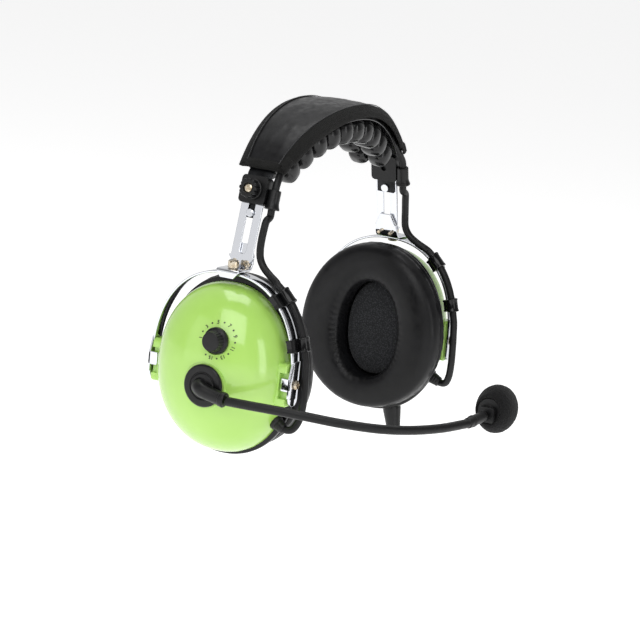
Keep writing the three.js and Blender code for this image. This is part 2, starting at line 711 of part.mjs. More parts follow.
// Points along the right half of the spring from the tongue's foot to the shoulder, moved outwards.
function rightSpringPoints(offset, foot) {
  const points = [fromLean(TONGUE_OFFSET + offset, foot)];
  const steps = 6;
  for (let i = 0; i <= steps; i++) {
    const angle = THREE.MathUtils.lerp(BAND.slope, SHOULDER_ANGLE, i / steps);
    points.push(shoulderPoint(angle, offset));
  }
  return points;
}

// The whole spring's line from the right foot to the left foot.
function springLine(offset, foot) {
  const right = rightSpringPoints(offset, foot);
  const crown = [];
  const steps = 26;
  for (let i = 1; i < steps; i++) {
    crown.push(crownPoint(SHOULDER_ANGLE * ((2 * i) / steps - 1), offset));
  }
  const left = right.map((point) => new THREE.Vector2(-point.x, point.y)).reverse();
  return [...right, ...crown, ...left];
}

// An outline drawn in (x, z), extruded to a half width on both sides of y = 0.
function alongDepth(points, halfWidth) {
  const solid = extruded(new THREE.Shape(points), 2 * halfWidth);
  return solid.rotateX(Math.PI / 2).translate(0, halfWidth, 0);
}

function headbandSpring() {
  const half = SPRING_THICKNESS / 2;
  const ribbon = (foot, halfWidth) =>
    alongDepth([...springLine(half, foot), ...springLine(-half, foot).reverse()], halfWidth);
  const wide = ribbon(TONGUE_TOP - 4, SPRING_WIDTH / 2);
  const narrow = ribbon(TONGUE_BOTTOM, TONGUE_WIDTH / 2);
  const holes = [];
  for (const side of [1, -1]) {
    for (const height of [STUD_HEIGHT, KNOB_HEIGHT]) {
      const hole = leaningPin(2.1, -8, 8, height, 12).rotateY(LEAN);
      hole.translate(SLIDER_FOOT.x, 0, SLIDER_FOOT.z);
      holes.push(side > 0 ? hole : hole.rotateZ(Math.PI));
    }
  }
  const low = fromLean(0, BLOCK.top + 0.4).y;
  const aboveClamps = boxBetween([-200, -20, low], [200, 20, 200]);
  return cut(join(common(wide, aboveClamps), narrow), ...holes);
}

// Half width of the padding at a distance from the middle.
function padHalfWidth(x) {
  const share = Math.min(Math.abs(x) / 80, 1);
  return THREE.MathUtils.lerp(PAD_HALF_WIDTH, PAD_HALF_WIDTH_AT_END, share ** 1.7);
}

// The padding's plan as a tall solid, to cut the cover and the cells to width.
function padPlan(inset) {
  const points = [];
  const steps = 16;
  for (let i = 0; i <= steps; i++) {
    const x = -84 + (168 * i) / steps;
    points.push(new THREE.Vector2(x, padHalfWidth(x) - inset));
  }
  for (let i = steps; i >= 0; i--) {
    const x = -84 + (168 * i) / steps;
    points.push(new THREE.Vector2(x, -padHalfWidth(x) + inset));
  }
  return extruded(new THREE.Shape(points), 120).translate(0, 0, 80);
}

function coverHeight(share) {
  const after = COVER_HEIGHTS.findIndex(([at]) => at >= share);
  const [to, high] = COVER_HEIGHTS[Math.max(after, 1)];
  const [from, low] = COVER_HEIGHTS[Math.max(after, 1) - 1];
  return THREE.MathUtils.mapLinear(share, from, to, low, high);
}

function padCover() {
  const steps = 32;
  const outer = [];
  const inner = [];
  for (let i = 0; i <= steps; i++) {
    const share = (2 * i) / steps - 1;
    const angle = share * SHOULDER_ANGLE;
    outer.push(crownPoint(angle, coverHeight(Math.abs(share))));
    inner.push(crownPoint(angle, COVER_INNER));
  }
  return common(alongDepth([...outer, ...inner.reverse()], 30), padPlan(0));
}

// The row of air cells under the spring: a scalloped cushion.
function padCells() {
  const top = [];
  const bottom = [];
  const perCell = 6;
  const steps = CELL_COUNT * perCell;
  const depth = BAND.crownRadius - (CROWN_HEIGHT - BAND.centre.y);
  for (let i = 0; i <= steps; i++) {
    const angle = CELL_ANGLE * ((2 * i) / steps - 1);
    const bulge = Math.abs(Math.sin((Math.PI * i) / perCell)) ** 0.5;
    top.push(crownPoint(angle, CELL_TOP));
    bottom.push(crownPoint(angle, THREE.MathUtils.lerp(CELL_VALLEY, -depth, bulge)));
  }
  return common(alongDepth([...top, ...bottom.reverse()], 30), padPlan(CELL_INSET));
}

// ---------------------------------------------------------------- cord between the cups
// Its route on the right: from the grommet up the stirrup to the clamp block. The left is its mirror.
const TAIL_ROUTE = [
  [-102.1, -37.1, -25],
  [-102.6, -41.2, -26.9],
  [-103, -45.2, -28.7],
  [-102.2, -49.2, -28],
  [-100.6, -52, -23.4],
  [-99.4, -53.4, -15],
  [-98.9, -53.6, -5],
  [-98.8, -53.2, 5],
  [-98.8, -52.6, 13],
];
const DROP_ROUTE = [
  [-98, -27.5, 57.6],
  [-96.2, -21, 61.2],
  [-95.2, -16, 65],
  [-94.8, -13, 69.8],
  [-94.6, -12.2, 75],
  [-94, -12.1, 80],
  [-92.7, -12.2, 86],
  [-90.7, -12.5, 92.3],
];
const LOWER_SLEEVE_ANGLE = -1.108;
const UPPER_SLEEVE_ANGLE = -0.607;
const SLEEVE_LENGTH = 8.6;
const CHANNEL_FOOT = 34.2;

// A point of the cord where it rides on the stirrup.
function cordOnStirrup(angle) {
  const point = archPoint(angle, CORD_ON_STRIP.offset);
  return [-PIVOT_X + CORD_ON_STRIP.x, point.x, point.y];
}

// From the grommet, round under the pivot and up the stirrup.
const CORD_SPLIT_ANGLE = UPPER_SLEEVE_ANGLE + 0.1;
function cordLower() {
  const points = [...TAIL_ROUTE];
  const steps = 8;
  for (let i = 0; i <= steps; i++) {
    const low = LOWER_SLEEVE_ANGLE - 0.1;
    points.push(cordOnStirrup(THREE.MathUtils.lerp(low, CORD_SPLIT_ANGLE, i / steps)));
  }
  return tube(route(points), CORD_RADIUS, 34);
}

// From above the stirrup's sleeves up to the channel beside the clamp block.
function cordDrop() {
  const start = [0.008, 0.05].map((turn) => cordOnStirrup(CORD_SPLIT_ANGLE + turn));
  const end = [4, 0].map((below) => {
    const point = fromLean(CORD_OFFSET, CHANNEL_FOOT - GAP - below);
    return [point.x, -CORD_SIDE, point.y];
  });
  return tube(route([...start, ...DROP_ROUTE, ...end]), CORD_RADIUS, 24);
}

// From one channel sleeve to the other, under the cover and beside the spring.
function cordOverBand() {
  const side = (point, y) => [point.x, -y, point.y];
  const drop = -1.4;
  const right = [
    side(fromLean(CORD_OFFSET, CHANNEL_FOOT), CORD_SIDE),
    side(fromLean(CORD_OFFSET, 42), CORD_SIDE),
    side(fromLean(CORD_OFFSET, 49.6), CORD_SIDE),
    side(shoulderPoint(1.05, drop), CORD_SIDE - 0.4),
  ];
  const crown = [];
  const steps = 14;
  for (let i = 0; i <= steps; i++) {
    const angle = (SHOULDER_ANGLE - 0.05) * ((2 * i) / steps - 1);
    crown.push(side(crownPoint(angle, drop), 11.4));
  }
  const left = right.map(([x, y, z]) => [-x, y, z]).reverse();
  return tube(route([...right, ...crown, ...left]), CORD_RADIUS, 58);
}

// ---------------------------------------------------------------- boom and microphone
const ELBOW_START = new THREE.Vector3(-BOOM_X, -1.5, -4.9);
const ELBOW_END = new THREE.Vector3(-BOOM_X, -24, -9);
const BEND_BASE = new THREE.Vector3(-BOOM_X, -25, -9.18);
const BEND_MIDDLE = new THREE.Vector3(-123, -92, -12.8);
const BEND_TIP = new THREE.Vector3(-73, -133.8, -15.4);
const FERRULE_START = new THREE.Vector3(-52, -140.6, -14.4);
const FERRULE_END = new THREE.Vector3(-33.1, -143.2, -11.6);

const onDiscAxis = (geometry) => outwards(geometry).translate(0, DISC_CENTRE.y, DISC_CENTRE.z);

// The swivel disc with its elbow and collar, and the threaded shank through the shell.
function boomElbow() {
  const seat = DISC_SEAT_X + GAP;
  const face = seat + DISC_THICKNESS;
  const points = [[0, 126], [4.5, 126], [4.5, seat], [DISC_RADIUS, seat]];
  points.push([DISC_RADIUS, face - 0.7], [DISC_RADIUS - 0.8, face], [0, face]);
  const disc = onDiscAxis(turned(points, 32));
  const direction = ELBOW_END.clone().sub(ELBOW_START);
  const length = direction.length();
  const arm = aimed(rod(ELBOW_RADIUS, 0, length, 16), ELBOW_START, direction);
  const ball = new THREE.SphereGeometry(ELBOW_RADIUS, 16, 8);
  ball.translate(ELBOW_START.x, ELBOW_START.y, ELBOW_START.z);
  const post = outwards(rod(ELBOW_RADIUS, face - 1, BOOM_X, 16));
  post.translate(0, ELBOW_START.y, ELBOW_START.z);
  const collar = aimed(rod(ELBOW_RADIUS + 0.7, length - 3.4, length, 20), ELBOW_START, direction);
  const solid = join(disc, arm, ball, post, collar);
  const socket = new THREE.SphereGeometry(GOOSENECK_RADIUS + GAP, 12, 8);
  return cut(solid, socket.translate(BEND_BASE.x, BEND_BASE.y, BEND_BASE.z));
}

function boomNut() {
  const nut = turned([[0, 125.2], [7.5, 125.2], [7.5, 128], [0, 128]], 6);
  return onDiscAxis(cut(nut, rod(4.9, 120, 130, 24)));
}

const GOOSENECK = route([
  BEND_BASE.toArray(),
  [-141.1, -38.5, -9.2],
  [-137.6, -55, -9.6],
  [-131.6, -73, -10.9],
  BEND_MIDDLE.toArray(),
  [-109.5, -111.2, -14.6],
  [-93, -123.7, -15.5],
  BEND_TIP.toArray(),
  FERRULE_START.toArray(),
  FERRULE_START.clone().lerp(FERRULE_END, 0.3).toArray(),
]);

// The part of the gooseneck's curve between two of its points, as a curve of its own.
function gooseneckSpan(from, to, steps) {
  const share = (target) => {
    let best = 0;
    const samples = 600;
    for (let i = 0; i <= samples; i++) {
      const nearer = GOOSENECK.getPointAt(i / samples).distanceTo(target);
      if (nearer < GOOSENECK.getPointAt(best).distanceTo(target)) best = i / samples;
    }
    return best;
  };
  const [low, high] = [share(from), share(to)];
  const points = [];
  for (let i = 0; i <= steps; i++) {
    points.push(GOOSENECK.getPointAt(THREE.MathUtils.lerp(low, high, i / steps)));
  }
  return new THREE.CatmullRomCurve3(points, false, "centripetal");
}

// One stretch of gooseneck, with balls and sockets at its ends where it bends.
function gooseneckPiece(from, to, steps, { balls = [], sockets = [] }) {
  const curve = gooseneckSpan(from, to, steps);
  const sphere = (radius, centre) =>
    new THREE.SphereGeometry(radius, 12, 8).translate(centre.x, centre.y, centre.z);
  const added = balls.map((centre) => sphere(GOOSENECK_RADIUS, centre));
  const removed = sockets.map((centre) => sphere(GOOSENECK_RADIUS + GAP, centre));
  return cut(join(tube(curve, GOOSENECK_RADIUS, steps), ...added), ...removed);
}

function micFerrule() {
  const direction = FERRULE_END.clone().sub(FERRULE_START);
  const length = direction.length();
  const points = [[0, 0.8], [2.9, 0.8], [FERRULE_RADIUS, 1.5], [FERRULE_RADIUS, length], [0, length]];
  return aimed(turned(points, 24), FERRULE_START, direction);
}

const onMicAxis = (geometry) => outwards(geometry).translate(0, MIC_AXIS.y, MIC_AXIS.z);

function micClip() {
  const shape = roundedRectangle(9.4, 10.6, 1.6);
  const plate = outwards(extruded(shape, 2.6).translate(0, 0, 29.4));
  return plate.translate(0, MIC_AXIS.y - 0.2, MIC_AXIS.z - 2);
}

function micCapsule() {
  const points = [[0, 18], [6.8, 18], [7.4, 18.8], [7.4, 27.6], [3.4, 27.6], [3.4, 29.1], [0, 29.1]];
  return onMicAxis(turned(points, 24));
}

// The foam windscreen: a flattened ball, open where the capsule goes in.
function windscreen() {
  const points = [[0, 5.5], [5.5, 6.1], [10, 8.2], [13.4, 12], [15, 17], [14.6, 21.5]];
  points.push([12.8, 25.6], [10.4, 28], [7.8, 28.6], [7.8, 17.6], [0, 17.6]);
  return onMicAxis(turned(points, 28));
}

// ---------------------------------------------------------------- assembly
const headset = new THREE.Group();
headset.position.z = -CROWN_HEIGHT;

// One end of the headband with its clamp, slider, stirrup and cup. The left is the right's mirror.
function side(name, hasBoom) {
  const group = new THREE.Group();
  if (!hasBoom) group.scale.x = -1;
  const add = (parent, title, geometry, finish) =>
    parent.add(piece(title + "_" + name, geometry, finish));

  const leaning = new THREE.Group();
  leaning.position.copy(SLIDER_FOOT);
  leaning.rotation.y = LEAN;
  group.add(leaning);
  add(leaning, "clamp_block", clampBlock(), BLACK_PLASTIC);
  add(leaning, "clamp_knob", clampKnob(), BLACK_PLASTIC);
  add(leaning, "guide_stud", guideStud(), CHROME);
  add(leaning, "cord_channel", channelSleeve(), BLACK_PLASTIC);
  add(leaning, "slider_strap", sliderStrap(), CHROME);
  add(leaning, "slider_bracket", sliderBracket(), CHROME);
  add(leaning, "bracket_screw_front", faceScrew(FACE_SCREWS[0]), NICKEL);
  add(leaning, "bracket_screw_rear", faceScrew(FACE_SCREWS[1]), NICKEL);

  add(group, "stirrup", stirrup(), CHROME);
  add(group, "swivel_screw", swivelScrew(), NICKEL);
  add(group, "stirrup_sleeve_lower", stirrupSleeve(LOWER_SLEEVE_ANGLE, SLEEVE_LENGTH), GLOSS_BLACK);
  add(group, "stirrup_sleeve_upper", stirrupSleeve(UPPER_SLEEVE_ANGLE, SLEEVE_LENGTH), GLOSS_BLACK);

  add(group, "cup_shell", cupShell(hasBoom), LIME);
  add(group, "baffle", baffle(), BLACK_PLASTIC);
  add(group, "ear_seal", earSeal(), LEATHER);
  add(group, "speaker", speaker(), STEEL);
  add(group, "speaker_foam", speakerFoam(), GREY_FOAM);
  add(group, "pivot_screw_front", pivotScrew(-1), NICKEL);
  add(group, "pivot_screw_rear", pivotScrew(1), NICKEL);
  add(group, "cord_grommet", cordGrommet(), BLACK_PLASTIC);
  if (!hasBoom) add(group, "comm_cord_gland", cordGland(), BLACK_PLASTIC);

  add(group, "cord_drop", cordDrop(), CORD_BLACK);
  add(group, "cord_lower", cordLower(), CORD_BLACK);
  return group;
}

function controls() {
  const group = new THREE.Group();
  group.add(piece("volume_knob", volumeKnob(), BLACK_PLASTIC));
  group.add(piece("preamp_board", preampBoard(), BOARD_GREEN));
  return group;
}

function boom() {
  const group = new THREE.Group();
  const rear = gooseneckPiece(BEND_BASE, BEND_MIDDLE, 18, { balls: [BEND_BASE, BEND_MIDDLE] });
  const front = gooseneckPiece(BEND_MIDDLE, BEND_TIP, 18, {
    balls: [BEND_TIP],
    sockets: [BEND_MIDDLE],
  });
  const tip = gooseneckPiece(BEND_TIP, FERRULE_START, 6, { sockets: [BEND_TIP] });
  group.add(piece("boom_elbow", boomElbow(), BLACK_PLASTIC));
  group.add(piece("boom_nut", boomNut(), STEEL));
  group.add(piece("gooseneck_rear", rear, CORD_BLACK));
  group.add(piece("gooseneck_front", front, CORD_BLACK));
  group.add(piece("gooseneck_tip", tip, CORD_BLACK));
  group.add(piece("mic_ferrule", micFerrule(), BLACK_PLASTIC));
  group.add(piece("mic_clip", micClip(), BLACK_PLASTIC));
  group.add(piece("mic_capsule", micCapsule(), BLACK_PLASTIC));
  group.add(piece("mic_windscreen", windscreen(), FOAM));
  return group;
}

headset.add(piece("headband_spring", headbandSpring(), SPRING_BLACK));
headset.add(piece("pad_cover", padCover(), LEATHER));
headset.add(piece("pad_air_cells", padCells(), VINYL));
headset.add(piece("cord_over_band", cordOverBand(), CORD_BLACK));
headset.add(side("right", true), side("left", false), controls(), boom());

export default headset;
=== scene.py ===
"""The looks of a pilot's headset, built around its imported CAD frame.

Lengths are in millimetres in the CAD drawing's own frame until row() turns them into the frame's metres.
The wearer's left is +X, the face looks along -Y, and z = 0 is the height of the ear cups' pivots.
Everything is drawn for the right side, and mirror() makes the left one.
"""

import json
import math

import bmesh
import bpy
from mathutils import Matrix, Vector, noise


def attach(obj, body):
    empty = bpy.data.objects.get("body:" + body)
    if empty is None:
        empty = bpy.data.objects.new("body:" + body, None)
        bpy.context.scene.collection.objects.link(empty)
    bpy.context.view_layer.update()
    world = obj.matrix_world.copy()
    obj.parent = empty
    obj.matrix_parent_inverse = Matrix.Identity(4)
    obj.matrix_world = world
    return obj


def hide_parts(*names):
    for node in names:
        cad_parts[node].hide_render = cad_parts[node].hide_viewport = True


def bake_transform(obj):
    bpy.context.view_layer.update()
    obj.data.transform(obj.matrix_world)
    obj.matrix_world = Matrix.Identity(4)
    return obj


CROWN_Z = 132.5  # the inner crown, which is z = 0 in the row frame

# ---------------------------------------------------------------- sizes
SHELL_OVAL = {"up": 54, "down": 51, "half": 43.5, "power": 2.1}
BAFFLE_OVAL = {"up": 57, "down": 52.5, "half": 46.6, "power": 2.1}
SEAL_OVAL = {"up": 58, "down": 50, "half": 50, "power": 2}
EAR_OVAL = {"up": 33, "down": 30, "half": 21, "power": 2.1}
ARCH_OVAL = {"up": 60.3, "down": 60.3, "half": 48.8, "power": 2.3}
DOME_DEPTH = 38
DOME_POWER = 2.2
RIM_X = -98
SEAL_BACK = -93.9
SEAL_FACE = -76
KNOB_AT = (-9.8, 23.9)
KNOB_FLOOR = -132.2
KNOB_BASE = -132.55
KNOB_FLUTES = 24
DISC_AT = (-5.3, -4.1)
DISC_SEAT = -135.6
ELBOW_ROUTE = [(-137.2, -4.4, -4.5), (-139.6, -4.6, -4.6), (-141.5, -6.6, -5.2), (-142, -10.5, -6.3),
               (-142, -17, -7.7), (-142, -21, -8.45)]
COLLAR = [(-142, -20.5, -8.36), (-142, -24.2, -9.03)]
GOOSENECK = [(-142, -25, -9.18), (-141.1, -38.5, -9.2), (-137.6, -55, -9.6), (-131.6, -73, -10.9),
             (-123, -92, -12.8), (-109.5, -111.2, -14.6), (-93, -123.7, -15.5), (-73, -133.8, -15.4),
             (-52, -140.6, -14.4)]
FERRULE = [(-52, -140.6, -14.4), (-33.1, -143.2, -11.6)]
MIC_AXIS = (-142.6, -9.6)
PIVOT_X = -104
SIDES = ("right", "left")
STRIP = (8.5, 1.4)
LEAN = math.radians(13.6)
KNOB_HEIGHT = 44.3  # of a clamp knob, up its slider
SHOULDER = math.radians(45)
SLOPE = math.radians(76.4)
CROWN_TOP = 153
CELL_SPAN = math.radians(43)
CORD_RADIUS = 2.3
CORD_ON_STRIP = (5.2, 4)
TAIL_ROUTE = [(-102.1, -37.1, -25), (-102.6, -41.2, -26.9), (-103, -45.2, -28.7), (-102.2, -49.2, -28),
              (-100.6, -52, -23.4), (-99.4, -53.4, -15), (-98.9, -53.6, -5), (-98.8, -53.2, 5),
              (-98.8, -52.6, 13)]
DROP_ROUTE = [(-98, -27.5, 57.6), (-96.2, -21, 61.2), (-95.2, -16, 65), (-94.8, -13, 69.8),
              (-94.6, -12.2, 75), (-94, -12.1, 80), (-92.7, -12.2, 86), (-90.7, -12.5, 92.3)]


def row(point):
    """A point of the drawing, in the row frame's metres."""
    return Vector((point[0], point[1], point[2] - CROWN_Z)) / 1000


def mirror(points, side):
    """The points for one side of the headset: as drawn on the right, reflected on the left."""
    return [Vector(p) if side == "right" else Vector((-p[0], p[1], p[2])) for p in points]


# ---------------------------------------------------------------- curves of the drawing
def oval(shape, angle):
    """Radius of an egg-like superellipse. Angle 0 points up, and 90 degrees along +Y."""
    vertical = shape["up"] if math.cos(angle) > 0 else shape["down"]
    p = shape["power"]
    total = (abs(math.cos(angle)) / vertical) ** p + (abs(math.sin(angle)) / shape["half"]) ** p
    return total ** (-1 / p)


def from_lean(out, along, y=0):
    """A point of the slider: out of its face, along its length."""
    x = -95.45 - out * math.cos(LEAN) + along * math.sin(LEAN)
    return Vector((x, y, 65.67 + out * math.sin(LEAN) + along * math.cos(LEAN)))


def band_radii():
    """The crown's and the shoulders' radii, which carry the band from the clamp to the top."""
    end = from_lean(-1.5, 50.5)
    across, down = -end.x, CROWN_TOP - end.z
    a1, a2 = math.sin(SHOULDER), math.sin(SLOPE) - math.sin(SHOULDER)
    b1, b2 = 1 - math.cos(SHOULDER), math.cos(SHOULDER) - math.cos(SLOPE)
    det = a1 * b2 - a2 * b1
    return end, (across * b2 - a2 * down) / det, (a1 * down - across * b1) / det


BAND_END, CROWN_RADIUS, SHOULDER_RADIUS = band_radii()
CROWN_CENTRE_Z = CROWN_TOP - CROWN_RADIUS


def crown(angle, offset=0, y=0):
    """A point of the band's crown. Negative angles are on the wearer's right."""
    r = CROWN_RADIUS + offset
    return Vector((r * math.sin(angle), y, CROWN_CENTRE_Z + r * math.cos(angle)))


def shoulder(angle, offset=0, y=0):
    """A point of the right shoulder, at an angle down from the crown's top."""
    up = Vector((-math.sin(angle), 0, math.cos(angle)))
    centre = BAND_END - SHOULDER_RADIUS * Vector((-math.sin(SLOPE), 0, math.cos(SLOPE)))
    point = centre + up * (SHOULDER_RADIUS + offset)
    return Vector((point.x, y, point.z))


def arch(angle, offset=0):
    """(y, z) of the stirrup's arch. Angle 0 is its top."""
    def at(turn):
        r = oval(ARCH_OVAL, turn)
        return Vector((r * math.sin(turn), r * math.cos(turn)))

    tangent = (at(angle + 1e-3) - at(angle - 1e-3)).normalized()
    return at(angle) + Vector((-tangent.y, tangent.x)) * offset


def dome_height(y, z):
    """How far the dome stands out of its rim over a point of the rim's plane."""
    h = DOME_DEPTH * 0.9
    for _ in range(14):
        rise = z - 4 * h / DOME_DEPTH
        share = min(math.hypot(y, rise) / oval(SHELL_OVAL, math.atan2(y, rise)), 1)
        h = DOME_DEPTH * (1 - share**DOME_POWER) ** (1 / DOME_POWER)
    return h


def smooth_route(points, step):
    """A centripetal Catmull-Rom curve through the points, sampled about every step."""
    pts = [Vector(p) for p in points]
    pts = [pts[0] * 2 - pts[1]] + pts + [pts[-1] * 2 - pts[-2]]
    out = []
    for a, b, c, d in zip(pts, pts[1:], pts[2:], pts[3:]):
        t1 = math.sqrt((b - a).length)
        t2 = t1 + math.sqrt((c - b).length)
        t3 = t2 + math.sqrt((d - c).length)
        count = max(1, round((c - b).length / step))
        for i in range(count):
            t = t1 + (t2 - t1) * i / count
            a1 = a * ((t1 - t) / t1) + b * (t / t1)
            a2 = b * ((t2 - t) / (t2 - t1)) + c * ((t - t1) / (t2 - t1))
            a3 = c * ((t3 - t) / (t3 - t2)) + d * ((t - t2) / (t3 - t2))
            b1 = a1 * ((t2 - t) / t2) + a2 * (t / t2)
            b2 = a2 * ((t3 - t) / (t3 - t1)) + a3 * ((t - t1) / (t3 - t1))
            out.append(b1 * ((t2 - t) / (t2 - t1)) + b2 * ((t - t1) / (t2 - t1)))
    return out + [pts[-2]]


# ---------------------------------------------------------------- mesh tools
def make(name, points, faces, finish, side="right", sharp=38):
    """A mesh object from points of the drawing, with welded points and outward faces."""
    mesh = bpy.data.meshes.new(name)
    mesh.from_pydata([row(p) for p in mirror(points, side)], [], faces)
    bm = bmesh.new()
    bm.from_mesh(mesh)
    bmesh.ops.remove_doubles(bm, verts=bm.verts, dist=2e-6)
    bmesh.ops.recalc_face_normals(bm, faces=bm.faces)
    bm.to_mesh(mesh)
    bm.free()
    mesh.shade_smooth()
    mesh.set_sharp_from_angle(angle=math.radians(sharp))
    mesh.materials.append(finish)
    piece = bpy.data.objects.new(name, mesh)
    bpy.context.scene.collection.objects.link(piece)
    return piece


def bake(piece):
    """Applies the piece's modifiers to its mesh."""
    graph = bpy.context.evaluated_depsgraph_get()
    mesh = bpy.data.meshes.new_from_object(piece.evaluated_get(graph))
    piece.modifiers.clear()
    piece.data = mesh
    return piece


def combine(piece, others, operation, sharp=38):
    """Joins solids to the piece, or cuts them out of it, and removes them."""
    for other in others:
        modifier = piece.modifiers.new("combine", "BOOLEAN")
        modifier.operation, modifier.solver, modifier.object = operation, "EXACT", other
        bake(piece)
        bpy.data.objects.remove(other)
    piece.data.shade_smooth()
    piece.data.set_sharp_from_angle(angle=math.radians(sharp))
    return piece


def mount(piece, body, slot, *nodes):
    """The piece rides on a body and stands for CAD nodes, which it hides. The slot is not used."""
    if nodes:
        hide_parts(*nodes)
    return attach(piece, body)


def skin(rings, loop=False, caps=True, closed=True):
    """Points and faces between rings of the same count."""
    n, m = len(rings[0]), len(rings)
    faces = []
    for i in range(m if loop else m - 1):
        j = (i + 1) % m
        for k in range(n if closed else n - 1):
            faces.append((i * n + k, i * n + (k + 1) % n, j * n + (k + 1) % n, j * n + k))
    if caps and not loop:
        faces.append(tuple(reversed(range(n))))
        faces.append(tuple((m - 1) * n + k for k in range(n)))
    return [p for ring in rings for p in ring], faces


def lathe(profile, origin, axis, segments=64):
    """Rings of (radius, height) turned about an axis."""
    axis = Vector(axis).normalized()
    u = axis.orthogonal().normalized()
    v = axis.cross(u)
    rings = []
    for r, h in profile:
        turn = [2 * math.pi * k / segments for k in range(segments)]
        rings.append([Vector(origin) + axis * h + (u * math.cos(t) + v * math.sin(t)) * r for t in turn])
    return skin(rings, caps=profile[0] != profile[-1])


def rounded(profile, radius, steps=4):
    """The (radius, height) profile with every inner corner rounded."""
    out = [profile[0]]
    for a, b, c in zip(profile, profile[1:], profile[2:]):
        a, b, c = Vector(a), Vector(b), Vector(c)
        r = min(radius, (b - a).length * 0.45, (c - b).length * 0.45)
        start, end = b + (a - b).normalized() * r, b + (c - b).normalized() * r
        for i in range(steps + 1):
            t = i / steps
            out.append(tuple(start * (1 - t) ** 2 + b * (2 * t * (1 - t)) + end * t * t))
    return out + [profile[-1]]


def path_frames(path, first_side=None):
    """Two side vectors at each point of a path, carried along it without twist."""
    frames = []
    side = first_side
    for i in range(len(path)):
        ahead = (path[min(i + 1, len(path) - 1)] - path[max(i - 1, 0)]).normalized()
        if side is None:
            side = ahead.orthogonal()
        side = (side - ahead * side.dot(ahead)).normalized()
        frames.append((side, ahead.cross(side)))
    return frames


def tube(name, path, radius, finish, side="right", segments=20, ends=(True, True)):
    """A round tube with UVs: u goes round it, and v is its length in millimetres."""
    path = mirror(path, side)
    radii, points = [radius] * len(path), list(path)
    for share in (0.9, 0.6, 0.0):
        bulge = radius * 0.5 * math.sqrt(1 - share * share)
        if ends[0]:
            points.insert(0, path[0] - (path[1] - path[0]).normalized() * bulge)
            radii.insert(0, radius * (0.5 + 0.5 * share) if share else 0)
        if ends[1]:
            points.append(path[-1] + (path[-1] - path[-2]).normalized() * bulge)
            radii.append(radius * (0.5 + 0.5 * share) if share else 0)
    frames = path_frames(points)
    rings = []
    for point, r, (a, b) in zip(points, radii, frames):
        turn = [2 * math.pi * k / segments for k in range(segments)]
        rings.append([point + (a * math.cos(t) + b * math.sin(t)) * r for t in turn])
    return uv_skin(name, rings, finish)


def uv_skin(name, rings, finish, closed=True):
    """A skin whose UVs are (share of the ring, length along the first points in millimetres)."""
    points, faces = skin(rings, caps=False, closed=closed)
    mesh = bpy.data.meshes.new(name)
    mesh.from_pydata([row(p) for p in points], [], faces)
    length = [0.0]
    for a, b in zip(rings, rings[1:]):
        middle = (sum(b, Vector()) / len(b) - sum(a, Vector()) / len(a)).length
        length.append(length[-1] + middle)
    n = len(rings[0])
    uvs = mesh.uv_layers.new(name="along")
    index = 0
    for i in range(len(rings) - 1):
        for k in range(n if closed else n - 1):
            for du, dv in ((0, 0), (1, 0), (1, 1), (0, 1)):
                uvs.data[index].uv = ((k + du) / n, length[i + dv])
                index += 1
    bm = bmesh.new()
    bm.from_mesh(mesh)
    bmesh.ops.remove_doubles(bm, verts=bm.verts, dist=2e-6)
    bmesh.ops.recalc_face_normals(bm, faces=bm.faces)
    bm.to_mesh(mesh)
    bm.free()
    mesh.shade_smooth()
    mesh.materials.append(finish)
    piece = bpy.data.objects.new(name, mesh)
    bpy.context.scene.collection.objects.link(piece)
    return piece


def box_section(width, height, radius, steps=3):
    """A rounded rectangle as (a, b) points, anticlockwise."""
    out = []
    for i, (sa, sb) in enumerate(((1, 1), (-1, 1), (-1, -1), (1, -1))):
        for k in range(steps + 1):
            t = math.radians(90 * i + 90 * k / steps)
            a = sa * (width / 2 - radius) + radius * math.cos(t)
            out.append((a, sb * (height / 2 - radius) + radius * math.sin(t)))
    return out


def sweep(name, frames, finish, side="right", sharp=38):
    """A bar. Each frame is (origin, a axis, b axis, section)."""
    rings = [[o + a * s[0] + b * s[1] for s in section] for o, a, b, section in frames]
    points, faces = skin(rings)
    return make(name, points, faces, finish, side, sharp)


def plate(name, outlines, thickness, origin, a_axis, b_axis, finish, side="right", edge=0.2):
    """A flat plate from an outline and its holes, centred on its plane, with rounded edges."""
    curve = bpy.data.curves.new(name, "CURVE")
    curve.dimensions, curve.fill_mode = "2D", "BOTH"
    curve.extrude, curve.bevel_depth, curve.bevel_resolution = thickness / 2 - edge, edge, 2
    curve.offset = -edge
    for outline in outlines:
        spline = curve.splines.new("POLY")
        spline.points.add(len(outline) - 1)
        for point, (a, b) in zip(spline.points, outline):
            point.co = (a, b, 0, 1)
        spline.use_cyclic_u = True
    flat = bpy.data.objects.new(name, curve)
    bpy.context.scene.collection.objects.link(flat)
    graph = bpy.context.evaluated_depsgraph_get()
    mesh = bpy.data.meshes.new_from_object(flat.evaluated_get(graph))
    a, b = Vector(a_axis), Vector(b_axis)
    n = a.cross(b)
    points = [Vector(origin) + a * v.co.x + b * v.co.y + n * v.co.z for v in mesh.vertices]
    faces = [tuple(p.vertices) for p in mesh.polygons]
    bpy.data.objects.remove(flat)
    return make(name, points, faces, finish, side, 50)


def arc_points(cx, cy, radius, start, end, steps):
    """Points of an arc, in degrees."""
    turns = [math.radians(start + (end - start) * i / steps) for i in range(steps + 1)]
    return [(cx + radius * math.cos(t), cy + radius * math.sin(t)) for t in turns]


